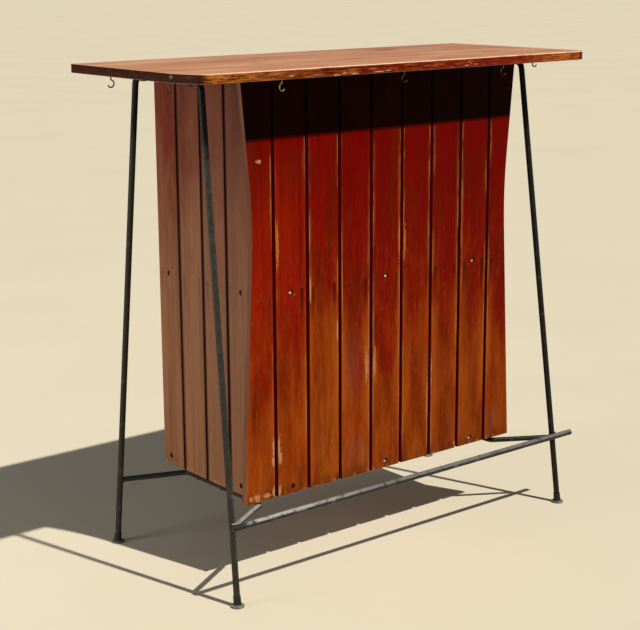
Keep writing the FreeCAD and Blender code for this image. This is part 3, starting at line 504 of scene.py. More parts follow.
def side_wood_finish():
    """The same boards in pinkish brown, part stain and part painted sheen lighter low down, redder just under
    the top.

    They are painted darker towards the front, where the photograph shows them in shade.
    """
    f = BoardFinish("side_wood", gloss=0.10, across="y", inward=lambda b: b.past(SIDE_X, b.size_of(b.x)),
                    first_seam=FIRST_SIDE_SEAM, seed=8.0)
    tone = f.board_tone(cloud=0.60, mottle=0.40, streak=0.34, chance=0.20, fine=0.12)
    # Their tone is partly stain and partly a painted sheen, lighter and pinker low down
    f.colour = f.tones(tone, SIDE_STAIN_AND_SHEEN)
    vein = f.grain(wide=70.0, tall=1.8, detail=5.0, rough=0.66)
    f.stain(SIDE_VEIN, f.fade(vein, 0.36, 0.56), 0.45)
    f.stain(SIDE_FLECK, f.fade(f.fleck, 0.34, 0.52), 0.22)
    f.stain(DULL_BROWN, f.in_front_of(0.02, 0.15), 0.38)
    f.stain(SHADED_BROWN, f.in_front_of(-0.08, 0.0), f.above(0.70, 0.97), 0.62)
    f.stain(SIDE_EDGE, f.off_the_edge(0.002, 0.004), f.near_edge(0.004, 0.010),
            f.slide(f.along_edges(130.0, 9.0), 0.42, 0.62), 0.35)
    where = f.point(f.times(f.inward, 40.0), f.times(f.y, 75.0), f.times(f.z, 60.0))
    bare = f.either(f.specks(wide=17.0, tall=8.0, size=0.034, share=0.10),
                    f.foot_wear(where, SIDE_BOTTOM, reach=0.012, start=0.52))
    f.stain(SIDE_BARE, bare, 0.7)
    f.stain(SIDE_RUN, f.nail_runs(tails=(0.50, 0.575), nails=(0.582, 0.590), drips=(0.44, 0.62)), 0.45)
    f.stain(SIDE_ARRIS, f.dark_arris(0.0008, 0.0030), 0.88)
    f.stain(SIDE_SLOT, f.slot)
    f.finish_back()
    rough = f.plus(f.plus(0.34, 0.25, f.cloud), 0.3, f.either(bare, f.slot))
    return f.wear(rough, f.plus(f.plus(f.cloud, 0.5, f.streak), -1.0, bare))


# Finishes of the bar top, the shelves and the cleats: marks on the top's edges, and colours

END_CHIPS = [(-0.137, 1.0135, 0.006, 0.004)]
EDGE_SCRATCHES = [(-0.192, 1.0040, 0.009, 0.0010), (-0.172, 1.0068, 0.007, 0.0010),
                  (-0.148, 1.0045, 0.010, 0.0008), (-0.086, 1.0056, 0.013, 0.0010),
                  (-0.062, 1.0064, 0.007, 0.0009), (0.150, 1.0060, 0.006, 0.0009)]
# The top face's pale tone: partly sun-bleached wood, partly a painted sheen
FACE_TONES_AND_SHEEN = [(0.12, (0.20, 0.066, 0.030)), (0.40, (0.47, 0.210, 0.115)), (0.60, (0.60, 0.31, 0.182)),
              (0.88, (0.76, 0.48, 0.34))]
FACE_STAIN = (0.16, 0.045, 0.018)
EDGE_TONES = [(0.42, (0.026, 0.003, 0.001)), (0.49, (0.11, 0.012, 0.002)), (0.54, (0.25, 0.048, 0.006)),
              (0.63, (0.54, 0.20, 0.045))]
EDGE_RED = (0.185, 0.005, 0.001)
EDGE_GOLD = (0.50, 0.170, 0.024)
CHIP_TAN = (0.58, 0.32, 0.15)
SCRATCH_TAN = (0.66, 0.42, 0.27)
END_TONES = [(0.3, (0.018, 0.003, 0.0006)), (0.55, (0.038, 0.008, 0.0015)), (0.75, (0.085, 0.026, 0.008))]
CORNER_RED = (0.13, 0.006, 0.003)
UNDERSIDE_TONES = [(0.35, (0.030, 0.009, 0.004)), (0.65, (0.075, 0.026, 0.013))]
# Bare wood along the top's arris, lightened further as a painted highlight
BARE_AND_HIGHLIT_ARRIS = (0.90, 0.68, 0.48)
END_CHIP = (0.30, 0.20, 0.15)
INNER_TONES = [(0.25, (0.10, 0.030, 0.014)), (0.5, (0.20, 0.070, 0.032)), (0.75, (0.28, 0.115, 0.055))]


def top_edge_colour(f, chip):
    """The edges: mottled, redder to the right, gilded near the ends, with chips, scratches and end grain."""
    f.colour = f.tones(f.stretched(22.0, 48.0, 230.0, seed=5.0, detail=8.0, rough=0.76), EDGE_TONES)
    f.stain(EDGE_RED, f.right_of(-0.45, 0.30), 0.75)
    gilding = f.stretched(26.0, 48.0, 260.0, seed=8.0, detail=8.0, rough=0.76)
    near_ends = f.either(f.left_of(-0.46, -0.20), f.right_of(0.30, 0.42))
    f.stain(EDGE_GOLD, near_ends, f.slide(gilding, 0.45, 0.56), 0.75)
    f.stain(CHIP_TAN, chip, 0.8)
    f.stain(SCRATCH_TAN, f.patches(f.x, EDGE_SCRATCHES), 0.85)
    end_grain = f.stretched(60.0, 60.0, 260.0, seed=4.0, detail=4.0, rough=0.65)
    f.stain(f.tones(end_grain, END_TONES), f.slide(f.size_of(f.facing_x), 0.10, 0.80))
    f.stain(CORNER_RED, f.right_of(0.487, 0.494), f.in_front_of(-0.175, -0.165))
    return f.colour


def bare_and_highlit_arrises(f):
    """Where the stain is worn off, with a painted highlight: the upper arris and a ragged strip of the face
    behind it.
    """
    arris = f.times(f.slide(f.facing_z, 0.20, 0.45), f.fade(f.facing_z, 0.93, 0.99),
                    f.slide(f.stretched(30.0, 30.0, 200.0, seed=2.0, detail=4.0), 0.32, 0.50),
                    f.fade(f.size_of(f.facing_x), 0.35, 0.6))
    ragged = f.stretched(24.0, 60.0, 60.0, seed=11.0, detail=5.0, rough=0.65)
    strip = f.times(f.in_front_of(TOP_LOW.y + 0.004, TOP_LOW.y + 0.010), f.slide(f.facing_z, 0.5, 0.9),
                    f.slide(ragged, 0.26, 0.48))
    return f.either(arris, strip)


def top_wood_finish():
    """The bar top: long grain, a face partly sun-bleached and partly painted sheen, mottled edges, dark end
    grain, bare arrises with a painted highlight.
    """
    f = Finish("top_wood", gloss=0.08)
    grain = f.stretched(2.0, 70.0, 20.0, seed=0.0, detail=6.0, rough=0.62)
    fine = f.stretched(7.0, 380.0, 60.0, seed=3.0)
    cloud = f.stretched(3.5, 9.0, 4.0, seed=7.0)
    chip = f.slide(f.stretched(45.0, 45.0, 160.0, seed=9.0, detail=4.0, rough=0.6), 0.66, 0.70)
    edge_colour = top_edge_colour(f, chip)
    # The face's pale tone is partly bleaching and partly painted sheen
    f.colour = f.tones(f.sway(f.sway(f.sway(0.5, 0.8, grain), 0.40, fine), 0.6, cloud), FACE_TONES_AND_SHEEN)
    spilt = f.stretched(5.0, 11.0, 4.0, seed=13.0, detail=4.0, rough=0.6)
    f.stain(FACE_STAIN, f.slide(spilt, 0.62, 0.72), 0.6)
    upright = f.fade(f.size_of(f.facing_z), 0.25, 0.75)
    f.stain(edge_colour, upright)
    f.stain(f.tones(grain, UNDERSIDE_TONES), f.slide(f.times(f.facing_z, -1.0), 0.6, 0.9))
    # Bare arrises, with a painted highlight along them
    f.stain(BARE_AND_HIGHLIT_ARRIS, bare_and_highlit_arrises(f), 0.9)
    chipped = f.patches(f.y, END_CHIPS, inner=0.7, outer=1.1, raggedness=2.0)
    f.stain(END_CHIP, chipped, f.left_of(-0.50, -0.49), 0.55)
    relief = f.plus(f.plus(f.times(fine, 0.3), 0.8, grain), -1.0, f.times(chip, upright))
    return f.wear(f.plus(0.38, 0.25, cloud), relief, 0.0004)


def inner_wood_finish():
    """Shelves and cleats: the same stain, duller, seldom seen."""
    f = Finish("inner_wood", gloss=0.3)
    grain = f.stretched(2.5, 60.0, 40.0, seed=1.0, detail=6.0, rough=0.62)
    fine = f.stretched(9.0, 330.0, 200.0, seed=4.0)
    f.colour = f.tones(f.sway(grain, 0.4, fine), INNER_TONES)
    return f.wear(f.plus(0.45, 0.2, grain), grain, 0.0004)


# Finishes of the iron bars and the rubber feet

FRAME_PAINT, FRAME_RUBBED = (0.015, 0.0147, 0.0122), (0.12, 0.115, 0.10)
FRAME_BLACK = (0.004, 0.004, 0.0035)
FLAKED_AND_SUNLIT_GREY = (0.052, 0.046, 0.036)
UNDER_TOP_BLACK = (0.004, 0.004, 0.004)
# Worn grey, and painted sunlight, for the top of the left stretcher's front arm
TRODDEN_AND_SUNLIT_GREY = (0.30, 0.29, 0.27)
RAIL_PAINT, RAIL_RUBBED = (0.014, 0.014, 0.015), (0.13, 0.125, 0.115)
RAIL_GREY = [(0.0, (0.36, 0.35, 0.33)), (1.0, (0.15, 0.148, 0.14))]
# How much lighter the specks in the paint are
SPECK_LIGHTER = 2.2
RUBBER_BLACK, RUBBER_DUST = (0.012, 0.012, 0.012), (0.26, 0.235, 0.19)


def iron_finish(name, paint, rubbed_metal, rubbed_from):
    """Painted round bar, with patches of the paint rubbed off; gives back where, and its fine specks."""
    f = Finish(name, gloss=0.14)
    patch = f.noise(f.here, 34.0, 6.0, 0.68)
    speck = f.noise(f.here, 420.0, 3.0, 0.6)
    rubbed = f.slide(f.sway(patch, 0.45, speck), rubbed_from, rubbed_from + 0.10)
    f.colour = f.blend(speck, paint, tuple(SPECK_LIGHTER * part for part in paint))
    f.stain(rubbed_metal, rubbed)
    return f, rubbed, speck


def black_iron_finish():
    """Leg frames, stretchers and clips.

    The left front leg is flaked grey and painted lighter where sun falls on it, the right end is blacker, and
    feet have worn the top of the left stretcher's front arm, which also has painted sunlight on its top. What is
    under the top is painted black, as the photograph shows it in shade.
    """
    f, rubbed, speck = iron_finish("black_iron", FRAME_PAINT, FRAME_RUBBED, 0.60)
    f.stain(FRAME_BLACK, f.right_of(0.0, 0.1), 0.55)
    # Flaked paint, and painted sunlight, on the left front leg
    flaked_and_sunlit = f.slide(f.noise(f.here, 150.0, 5.0, 0.7), 0.44, 0.58)
    f.stain(FLAKED_AND_SUNLIT_GREY, flaked_and_sunlit, f.left_of(-0.1, 0.0), f.in_front_of(0.0, 0.05),
            f.slide(f.z, 0.30, 0.55, 0.35, 0.85))
    f.stain(UNDER_TOP_BLACK, f.above(0.86, 0.90))
    # Worn grey, and painted sunlight, on the top of the left stretcher's front arm outside the cabinet's shade
    front_arm = f.times(f.below(0.168, 0.172), f.above(0.13, 0.14), f.in_front_of(-0.138, -0.128),
                        f.left_of(-0.1, 0.1))
    f.stain(TRODDEN_AND_SUNLIT_GREY, front_arm, f.slide(f.facing_z, 0.2, 0.7),
            f.slide(f.noise(f.here, 60.0, 4.0, 0.6), 0.30, 0.50))
    return f.wear(f.plus(0.40, 0.15, rubbed), speck, 0.0003)


def worn_iron_finish():
    """The foot rail: feet have worn its top to grey metal, brightest at the left."""
    f, rubbed, speck = iron_finish("worn_iron", RAIL_PAINT, RAIL_RUBBED, 0.56)
    f.stain(f.tones(f.right_of(-0.34, -0.05), RAIL_GREY), f.slide(f.facing_z, 0.10, 0.60),
            f.right_of(-0.435, -0.405), f.slide(f.noise(f.here, 60.0, 4.0, 0.6), 0.28, 0.5))
    return f.wear(f.plus(0.42, 0.1, rubbed), speck, 0.0003)


def rubber_finish():
    """Black feet, dusty where they face up and along the floor."""
    f = Finish("foot_rubber", gloss=0.3)
    dust = f.noise(f.here, 90.0, 4.0, 0.6)
    lying = f.either(f.slide(f.facing_z, 0.5, 0.9), f.below(0.0034, 0.0046))
    f.colour = RUBBER_BLACK
    f.stain(RUBBER_DUST, lying, f.slide(dust, 0.25, 0.60), 0.8)
    return f.wear(f.plus(0.5, 0.3, dust), dust, 0.0003)


# Finishes of the screws, the nails and the hooks

STEEL_BRIGHT, STEEL_DULL = (0.92, 0.90, 0.86), (0.40, 0.33, 0.28)
STEEL_STAINED = (0.46, 0.22, 0.14)
# How much of a screw's brightness its tarnish keeps
SCREW_TARNISH = 0.45
NAIL_BROWN, NAIL_DARK = (0.20, 0.065, 0.040), (0.030, 0.010, 0.006)
# Dark browns for the screw heads: painted shade on each head's upper half, and the low left heads
HEAD_DARK, HEAD_BROWN = (0.035, 0.006, 0.003), (0.10, 0.035, 0.018)
BRASS_BRIGHT, BRASS_DULL = (0.36, 0.29, 0.18), (0.09, 0.065, 0.04)
BRASS_BROWN = (0.075, 0.028, 0.014)


class MetalFinish(Finish):
    """Bare metal that has tarnished in spots, with the tarnish rougher than the rest."""

    def __init__(self, name, bright, dull, low, high, scale=260.0, gloss=0.5):
        super().__init__(name, gloss)
        self.tarnish = self.noise(self.here, scale, 4.0, 0.65)
        self.colour = bright
        self.stain(dull, self.slide(self.tarnish, low, high))

    def wear_tarnish(self):
        return self.wear(self.plus(0.30, 0.3, self.tarnish), self.tarnish, 0.0001)


def screw_finish(name, bright):
    """Panel screws: each head's upper half painted dark, as its hole shades it; low left ones all dark."""
    f = MetalFinish(name, bright, tuple(SCREW_TARNISH * part for part in bright), low=0.55, high=0.78)
    dark_head = f.blend(f.slide(f.tarnish, 0.45, 0.65), HEAD_DARK, HEAD_BROWN)
    # Painted shade on the upper half of each head, where its hole shades it
    painted_hole_shade = 0.0
    for height in SHELF_HEIGHTS:
        above = f.past(f.sway(f.z, 0.003, f.tarnish), height)
        painted_hole_shade = f.either(painted_hole_shade, f.times(f.slide(above, -0.0016, 0.0002), f.fade(above, 0.02, 0.03)))
    dark_low_left = f.times(f.below(0.30, 0.40), f.left_of(-0.20, -0.10))
    # Darkens the low left heads, and paints shade on each head's upper half
    f.stain(dark_head, f.either(dark_low_left, f.times(painted_hole_shade, 0.9)))
    return f.wear_tarnish()


def hook_finish():
    """Brass wire, gone brown on all but the foremost hook."""
    f = MetalFinish("hook_brass", BRASS_BRIGHT, BRASS_DULL, low=0.40, high=0.65)
    f.stain(BRASS_BROWN, f.either(f.left_of(-0.45, -0.40), f.right_of(-0.20, -0.10)), 0.85)
    f.shader.inputs["Metallic"].default_value = 0.5
    return f.wear_tarnish()


def nail_finish():
    """Rusted iron, brown over black."""
    return MetalFinish("nail_iron", NAIL_BROWN, NAIL_DARK, 0.40, 0.62, scale=420.0, gloss=0.05).wear_tarnish()


FINISHES = {
    "bright_screw": screw_finish("bright_screw", STEEL_BRIGHT),
    "stained_screw": screw_finish("stained_screw", STEEL_STAINED),
    "front_wood": front_wood_finish(),
    "side_wood": side_wood_finish(),
    "top_wood": top_wood_finish(),
    "inner_wood": inner_wood_finish(),
    "black_iron": black_iron_finish(),
    "worn_iron": worn_iron_finish(),
    "foot_rubber": rubber_finish(),
    "hook_brass": hook_finish(),
    "screw_steel": MetalFinish("screw_steel", STEEL_BRIGHT, STEEL_DULL, low=0.55, high=0.78).wear_tarnish(),
    "nail_iron": nail_finish(),
}

for node in NODES.values():
    for holder in node.material_slots:
        if holder.material and holder.material.name.split(".")[0] in FINISHES:
            holder.material = FINISHES[holder.material.name.split(".")[0]]


# Modelling tools

SAME_PLACE, ON_LINE = 1e-6, 1e-5


def clear_selection():
    bpy.ops.object.select_all(action="DESELECT")


def start_ring(name, radius, sides, place):
    """A bare ring of edges, the start of every turned or bent piece, open for editing."""
    clear_selection()
    bpy.ops.mesh.primitive_circle_add(vertices=sides, radius=radius, location=place)
    bpy.context.object.name = name
    bpy.ops.object.transform_apply(location=True, rotation=True, scale=True)
    bpy.ops.object.mode_set(mode="EDIT")
    return bpy.context.object


def draw_on(move, swell=1.0, middle=(0, 0, 0)):
    """Draws the open ring on by a move, and widens or narrows it about its middle."""
    bpy.ops.mesh.extrude_region_move(TRANSFORM_OT_translate={"value": move})
    if swell != 1.0:
        bpy.ops.transform.resize(value=(swell, swell, swell), center_override=middle)


def sweep_round(centre, way, degrees, steps):
    """Carries the open ring round a centre; spin turns against its axis, so the axis is turned over."""
    bpy.ops.mesh.spin(steps=steps, angle=math.radians(degrees), center=centre, axis=(0, -way, 0))


def close_up(piece, sharp=40):
    """Caps the ends, points the faces outwards and smooths all but the sharp edges."""
    bpy.ops.mesh.select_all(action="SELECT")
    bpy.ops.mesh.remove_doubles(threshold=SAME_PLACE)
    bpy.ops.mesh.fill_holes(sides=0)
    bpy.ops.mesh.select_all(action="SELECT")
    bpy.ops.mesh.normals_make_consistent(inside=False)
    bpy.ops.object.mode_set(mode="OBJECT")
    bpy.ops.object.shade_smooth_by_angle(angle=math.radians(sharp))
    return piece


def turn_piece(name, rings, sides, lean=(0, 0)):
    """A piece turned about Z from rings of (radius, height) in millimetres; a lean slopes it as it rises."""
    (radius, height), *others = [(r / 1000, h / 1000) for r, h in rings]
    piece = start_ring(name, radius, sides, (0, 0, height))
    middle = Vector((0, 0, height))
    for next_radius, next_height in others:
        rise = next_height - height
        move = Vector((lean[0] * rise, lean[1] * rise, rise))
        middle += move
        draw_on(move, next_radius / radius, middle)
        radius, height = next_radius, next_height
    return close_up(piece)


def apply_modifier(piece, kind, **settings):
    modifier = piece.modifiers.new(kind.lower(), kind)
    for key, value in settings.items():
        setattr(modifier, key, value)
    bpy.ops.object.modifier_apply(modifier=modifier.name)


def select_only(*pieces):
    """Selects some pieces, and makes the first of them the one that is worked on."""
    clear_selection()
    for piece in pieces:
        piece.select_set(True)
    bpy.context.view_layer.objects.active = pieces[0]


def copy_to(pattern, place, turn):
    """A copy with its own mesh, turned and moved, with both put into the mesh."""
    select_only(pattern)
    bpy.ops.object.duplicate(linked=False)
    copy = bpy.context.object
    copy.matrix_world = Matrix.Translation(place) @ turn
    bpy.ops.object.transform_apply(location=True, rotation=True, scale=True)
    return copy


def lay_out(name, pattern, places):
    """Copies of a pattern at its places, joined into one piece."""
    copies = [copy_to(pattern, place, turn) for place, turn in places]
    select_only(*copies)
    if len(copies) > 1:
        bpy.ops.object.join()
    piece = bpy.context.object
    piece.name = name
    return piece


def throw_away(piece):
    select_only(piece)
    bpy.ops.object.delete()


def hand_over(piece, finish, slot, *nodes):
    """Gives a finished piece its material and its place on the bar."""
    piece.data.materials.clear()
    piece.data.materials.append(FINISHES[finish])
    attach(piece, "root")
    if nodes:
        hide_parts(*nodes)


FACING_FRONT = Matrix.Rotation(math.radians(90), 4, "X")
FACING_LEFT = Matrix.Rotation(math.radians(-90), 4, "Y")
FACING_RIGHT = Matrix.Rotation(math.radians(90), 4, "Y")
FACING_DOWN = Matrix.Rotation(math.radians(180), 4, "X")
SIDES = (("left", FACING_LEFT, -1), ("right", FACING_RIGHT, 1))


# Bar top

# How far along the front edge and along the end the clip reaches
LEFT_CLIP = (0.022, 0.067)
LEFT_EASING, RIGHT_EASING, ARRIS = 0.019, 0.032, 0.0015


def choose_edges(board, wanted):
    """Selects the edges whose two ends both pass a test, and opens the board for editing."""
    bpy.ops.object.mode_set(mode="EDIT")
    bpy.ops.mesh.select_mode(type="EDGE")
    bpy.ops.mesh.select_all(action="DESELECT")
    bpy.ops.object.mode_set(mode="OBJECT")
    for edge in board.data.edges:
        edge.select = all(wanted(board.data.vertices[end].co) for end in edge.vertices)
    bpy.ops.object.mode_set(mode="EDIT")


def make_top():
    """The board as it is seen: its left front corner clipped and eased, its right front corner rounded."""
    clear_selection()
    bpy.ops.mesh.primitive_cube_add(size=1, location=(TOP_LOW + TOP_HIGH) / 2, scale=TOP_HIGH - TOP_LOW)
    board = bpy.context.object
    board.name = "bar_top_board"
    bpy.ops.object.transform_apply(location=True, rotation=True, scale=True)
    along, across = LEFT_CLIP
    corner = Vector((TOP_LOW.x + along, TOP_LOW.y, TOP_LOW.z))
    bpy.ops.object.mode_set(mode="EDIT")
    bpy.ops.mesh.select_all(action="SELECT")
    bpy.ops.mesh.bisect(plane_co=corner, plane_no=Vector((-across, -along, 0)).normalized(), use_fill=True,
                        clear_outer=True)
    for place, easing in ((corner, LEFT_EASING), (Vector((TOP_HIGH.x, TOP_LOW.y, 0)), RIGHT_EASING)):
        choose_edges(board, lambda at: math.hypot(at.x - place.x, at.y - place.y) < ON_LINE)
        bpy.ops.mesh.bevel(offset=easing, segments=12, profile=0.5, affect="EDGES")
    for level in (TOP_LOW.z, TOP_HIGH.z):
        choose_edges(board, lambda at: abs(at.z - level) < ON_LINE)
        bpy.ops.mesh.bevel(offset=ARRIS, segments=3, profile=0.5, affect="EDGES")
    hand_over(close_up(board), "top_wood", "top_wood", "bar_top")


# Screws and nails

# Sizes in millimetres, the shank's and the head's across
PANEL_SCREW = {"shank": 4, "head": 10.5, "head_height": 2, "length": 29}
CLIP_SCREW = {"shank": 3.5, "head": 7, "head_height": 2.2, "length": 11}
STRETCHER_SCREW = {"shank": 3.5, "head": 7, "head_height": 2.2, "length": 35}
NAIL_RINGS = [(0.9, -6), (0.9, -0.2), (1.9, -0.2), (1.9, 0.25), (1.6, 0.45), (0.8, 0.55)]
# A screw's taper in shares of its shank and length, its head's rounding in shares of radius and height
SHANK_TAPER = ((0.15, -1.0), (0.5, -0.8), (0.5, 0.0))
HEAD_DOME = ((1.0, 0.28), (0.95, 0.52), (0.80, 0.76), (0.55, 0.93), (0.22, 1.0))
# How deep the slot is, as a share of the head's height
SLOT_DEPTH = 0.45
# The front boards with screws, counted from the middle one
SCREWED_BOARDS = (-3, 0, 3)
# Smaller sizes and places in metres
SLOT_REACH, SLOT_WIDTH = 0.02, 0.0011
CLIP_THICKNESS, CLIP_SCREW_REACH = 0.0016, 0.015
FRONT_NAILS = (-0.327, -0.304, -0.278, -0.222, -0.195, -0.142, -0.111, -0.055, -0.027, 0.028, 0.056, 0.111,
               0.139, 0.194, 0.222, 0.277, 0.306, 0.331)
SIDE_NAILS = (-0.108, -0.042, -0.014, 0.039, 0.066, 0.121, 0.150, 0.194)
NAIL_SCATTER = (-0.002, 0.006)


def make_screw(shank, head, head_height, length):
    """A round-head slotted screw, its head up and its seat at zero."""
    radius = head / 2
    rings = [(share * shank, rise * length) for share, rise in SHANK_TAPER] + [(radius, 0)]
    rings += [(share * radius, rise * head_height) for share, rise in HEAD_DOME]
    screw = turn_piece("screw_pattern", rings, sides=24)
    clear_selection()
    bpy.ops.mesh.primitive_cube_add(size=1, location=(0, 0, head_height / 1000),
                                    scale=(SLOT_REACH, SLOT_WIDTH, 2 * SLOT_DEPTH * head_height / 1000))
    slot_cutter = bpy.context.object
    bpy.ops.object.transform_apply(location=True, rotation=True, scale=True)
    select_only(screw)
    apply_modifier(screw, "BOOLEAN", operation="DIFFERENCE", object=slot_cutter, solver="EXACT")
    throw_away(slot_cutter)
    return screw


def turned_at_random(facing, dice):
    return facing @ Matrix.Rotation(dice.uniform(0, math.pi), 4, "Z")


def drive(name, pattern, places, finish, *nodes):
    hand_over(lay_out(name, pattern, places), finish, "screw_steel", *nodes)


def drive_panel_screws(dice):
    """Sunk screws that hold the boards to the shelves; the lower side screws are set back a little."""
    screw = make_screw(**PANEL_SCREW)
    front = [(Vector((board * BOARD_PITCH, FACE_Y + SCREW_SEAT, height)),
              turned_at_random(FACING_FRONT, dice))
             for board in SCREWED_BOARDS for height in SHELF_HEIGHTS]
    drive("front_screw_heads", screw, front, "bright_screw", "front_panel_screws")
    half_head = PANEL_SCREW["head"] / 2000
    for side, facing, way in SIDES:
        low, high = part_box(side + "_side_screws")
        face = way * (SIDE_X - SCREW_SEAT)
        places = [(Vector((face, depth + setback, height)), turned_at_random(facing, dice))
                  for depth in (low.y + half_head, high.y - half_head - LOW_SCREW_SETBACK)
                  for height, setback in zip(SHELF_HEIGHTS, (0, LOW_SCREW_SETBACK))]
        drive(side + "_screw_heads", screw, places, "stained_screw", side + "_side_screws")
    throw_away(screw)


def drive_clip_screws(dice):
    """Two screws a saddle clip, up into the top."""
    screw = make_screw(**CLIP_SCREW)
    places = []
    for clip in ("left_front_clip", "left_back_clip", "right_front_clip", "right_back_clip"):
        low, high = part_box(clip)
        middle = (low + high) / 2
        for reach in (-CLIP_SCREW_REACH, CLIP_SCREW_REACH):
            seat = Vector((middle.x + reach, middle.y, TOP_UNDERSIDE - CLIP_THICKNESS))
            places.append((seat, turned_at_random(FACING_DOWN, dice)))
    drive("clip_screw_heads", screw, places, "nail_iron", "clip_screws")
    throw_away(screw)


def drive_stretcher_screws(dice):
    """Screws up through the stretchers into the side boards' lower ends."""
    screw = make_screw(**STRETCHER_SCREW)
    half_head = STRETCHER_SCREW["head"] / 2000
    low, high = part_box("stretcher_screws")
    seat = low.z + STRETCHER_SCREW["head_height"] / 1000
    places = [(Vector((x, y, seat)), turned_at_random(FACING_DOWN, dice))
              for x in (low.x + half_head, high.x - half_head)
              for y in (low.y + half_head, high.y - half_head)]
    drive("stretcher_screw_heads", screw, places, "nail_iron", "stretcher_screws")
    throw_away(screw)


def drive_screws():
    dice = random.Random(11)
    drive_panel_screws(dice)
    drive_clip_screws(dice)
    drive_stretcher_screws(dice)


def drive_nails():
    """Two nails a board, at the height of the middle shelf, their heads a hair proud of the face."""
    dice = random.Random(5)
    nail = turn_piece("nail_pattern", NAIL_RINGS, sides=12)

    def height():
        return SHELF_HEIGHTS[0] + dice.uniform(*NAIL_SCATTER)

    front = [(Vector((x, FACE_Y, height())), FACING_FRONT) for x in FRONT_NAILS]
    drive("front_nails", nail, front, "nail_iron")
    for side, facing, way in SIDES:
        places = [(Vector((way * SIDE_X, y, height())), facing) for y in SIDE_NAILS]
        drive(side + "_side_nails", nail, places, "nail_iron")
    throw_away(nail)


# Cup hooks

HOOK_WIRE, HOOK_SHOULDER, HOOK_BOWL, HOOK_NECK, HOOK_GRIP = 0.0014, 0.004, 0.007, 0.005, 0.010
# How far past the bottom of the bowl the tip is, in degrees
HOOK_TIP = 62
# How far the rounding of the tip goes on in each step, and how much of its width is left
TIP_ROUNDING = ((0.0003, 0.85), (0.0002, 0.6))


def make_hook():
    """Round wire: a shank in the top, a shoulder bent back, then a bowl under the shank, open towards +X."""
    both = HOOK_SHOULDER + HOOK_BOWL
    lean = math.acos(HOOK_SHOULDER / both)
    bowl_centre = Vector((0, 0, -HOOK_NECK - both * math.sin(lean)))
    hook = start_ring("hook_pattern", HOOK_WIRE, sides=16, place=(0, 0, HOOK_GRIP))
    draw_on((0, 0, -HOOK_GRIP - HOOK_NECK))
    sweep_round((-HOOK_SHOULDER, 0, -HOOK_NECK), way=1, degrees=math.degrees(lean), steps=8)
    sweep_round(bowl_centre, way=-1, degrees=90 + math.degrees(lean) + HOOK_TIP, steps=28)
    tip = math.radians(HOOK_TIP)
    middle = bowl_centre + HOOK_BOWL * Vector((math.sin(tip), 0, -math.cos(tip)))
    onward = Vector((math.cos(tip), 0, math.sin(tip)))
    for length, swell in TIP_ROUNDING:
        middle += onward * length
        draw_on(onward * length, swell, middle)
    return close_up(hook, sharp=60)


def hang_hooks():
    """Each hook hangs where its CAD node does: the back of its bowl tells where its shank is."""
    pattern = make_hook()
    back = HOOK_BOWL + HOOK_WIRE
    for name in NODES:
        if "_hook_" not in name:
            continue
        low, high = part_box(name)
        middle = (low + high) / 2
        if name.startswith("front"):
            place, turn = (middle.x, high.y - back), -90
        elif name.startswith("left"):
            place, turn = (high.x - back, middle.y), 180
        else:
            place, turn = (low.x + back, middle.y), 0
        turned = Matrix.Rotation(math.radians(turn), 4, "Z")
        piece = lay_out(name + "_wire", pattern, [(Vector((*place, TOP_UNDERSIDE)), turned)])
        hand_over(piece, "hook_brass", "hook_brass", name)
    throw_away(pattern)


# Feet

# A leg's upper end: half the span, front and back reach, and height; and its foot: half the span and depth
LEG_TOP = (0.4268, -0.0961, 0.1287, 0.99535)
LEG_FOOT = (0.4537, 0.2188)
FOOT_RINGS = [(12.4, 0), (13.3, 0.5), (13.5, 1.4), (13.5, 2.8), (13.0, 3.6), (12.0, 4.0), (9.2, 4.2),
              (8.2, 5.0), (7.85, 7.0), (7.65, 12.0), (7.35, 20.0), (7.25, 21.4), (7.0, 21.9), (6.65, 21.7),
              (6.65, 7.2)]


def set_feet():
    """Rubber feet: a flat flange with a rounded rim, and a lipped sleeve that leans with its leg."""
    half_span, front, back, top = LEG_TOP
    foot_span, foot_depth = LEG_FOOT
    for side, _, way in SIDES:
        for end, depth, reach in (("front", -foot_depth, front), ("back", foot_depth, back)):
            lean = (way * (half_span - foot_span) / top, (reach - depth) / top)
            foot = turn_piece("foot_pattern", FOOT_RINGS, sides=40, lean=lean)
            place = Vector((way * foot_span, depth, 0))
            node = "%s_%s_foot" % (side, end)
            piece = lay_out(node + "_rubber", foot, [(place, Matrix.Identity(4))])
            throw_away(foot)
            hand_over(piece, "foot_rubber", "foot_rubber", node)


# Welds

# A stretcher's bends: half the span, front and back reach, and height
STRETCHER_CORNER = (0.3253, -0.1253, 0.1327, 0.15215)
STRETCHER_DROP = 0.009
LEG_RADIUS, RAIL_PLACE = 0.00635, (-0.2124, 0.158)
BEAD_RADIUS, BEAD_THICKNESS, BEAD_SINK = 0.0060, 0.0020, 0.0006
RAIL_RUN_RISE, RAIL_RUN_SIZE = 0.0052, (0.0052, 0.0034, 0.0030)
WELD_LUMPS = 0.0005
SEED_STEP = 7


def leg_at(way, back, height):
    """The middle of a leg at some height."""
    half_span, front_reach, back_reach, top = LEG_TOP
    foot_span, foot_depth = LEG_FOOT
    foot = Vector((way * foot_span, foot_depth if back else -foot_depth, 0))
    return foot.lerp(Vector((way * half_span, back_reach if back else front_reach, top)), height / top)


def roughen(piece, seed):
    """Makes a smooth start lumpy, like metal that has run and set."""
    bpy.ops.object.transform_apply(location=True, rotation=True, scale=True)
    bpy.ops.object.mode_set(mode="EDIT")
    bpy.ops.mesh.select_all(action="SELECT")
    bpy.ops.transform.vertex_random(offset=WELD_LUMPS, seed=seed)
    bpy.ops.mesh.normals_make_consistent(inside=False)
    bpy.ops.object.mode_set(mode="OBJECT")
    apply_modifier(piece, "SUBSURF", levels=1)
    bpy.ops.object.shade_smooth()


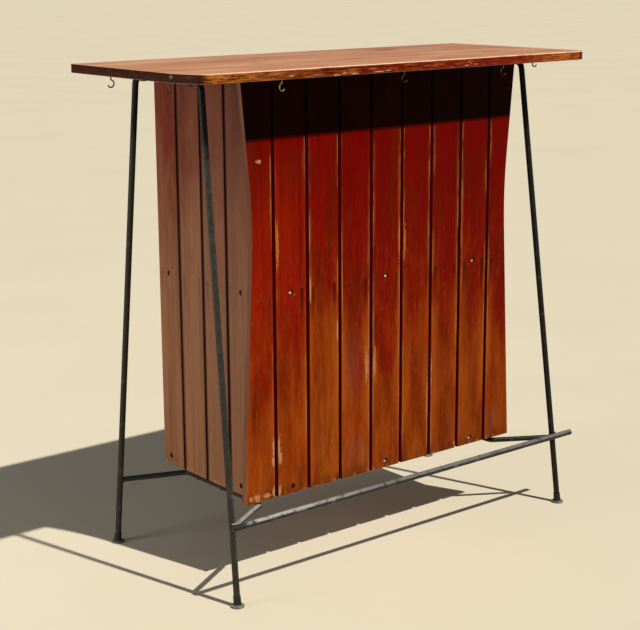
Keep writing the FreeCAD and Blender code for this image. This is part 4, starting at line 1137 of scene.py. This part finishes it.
def weld_stretchers():
    """A bead round the end of each stretcher where it meets its leg."""
    corner_x, front, back, level = STRETCHER_CORNER
    seed = 0
    for side, _, way in SIDES:
        for end, reach, drop in (("front", front, 0), ("back", back, STRETCHER_DROP)):
            leg = leg_at(way, end == "back", level - drop)
            inward = (Vector((way * corner_x, reach, level)) - leg).normalized()
            clear_selection()
            bpy.ops.mesh.primitive_torus_add(location=leg + (LEG_RADIUS - BEAD_SINK) * inward,
                                             rotation=inward.to_track_quat("Z", "Y").to_euler(),
                                             major_radius=BEAD_RADIUS, minor_radius=BEAD_THICKNESS,
                                             major_segments=26, minor_segments=10)
            bead = bpy.context.object
            bead.name = "%s_%s_stretcher_weld" % (side, end)
            roughen(bead, seed)
            hand_over(bead, "black_iron", "black_iron")
            seed += 1


def weld_rail():
    """Two short runs where the foot rail crosses each front leg, above and below it."""
    depth, level = RAIL_PLACE
    for number, (side, _, way) in enumerate(SIDES):
        runs = []
        for rise in (-RAIL_RUN_RISE, RAIL_RUN_RISE):
            leg = leg_at(way, False, level + rise)
            clear_selection()
            bpy.ops.mesh.primitive_ico_sphere_add(subdivisions=3, radius=1, scale=RAIL_RUN_SIZE,
                                                  location=(leg.x, (leg.y + depth) / 2, level + rise))
            runs.append(bpy.context.object)
            roughen(runs[-1], SEED_STEP * number + len(runs))
        select_only(*reversed(runs))
        bpy.ops.object.join()
        piece = bpy.context.object
        piece.name = side + "_rail_weld"
        hand_over(piece, "black_iron", "black_iron")


# Floor

FLOOR_SPAN = 160
FLOOR_TONES = [(0.3, (0.68, 0.620, 0.485)), (0.7, (0.71, 0.648, 0.508))]


def lay_floor():
    clear_selection()
    bpy.ops.mesh.primitive_plane_add(size=FLOOR_SPAN, location=(0, 0, 0))
    floor = bpy.context.object
    floor.name = "floor"
    f = Finish("pale_floor", gloss=0.2)
    f.colour = f.tones(f.noise(f.here, 1.6, 4.0), FLOOR_TONES)
    f.wear(0.85)
    floor.data.materials.append(f.material)


set_camera()
light_the_set()
make_top()
drive_screws()
drive_nails()
hang_hooks()
set_feet()
weld_stretchers()
weld_rail()
lay_floor()
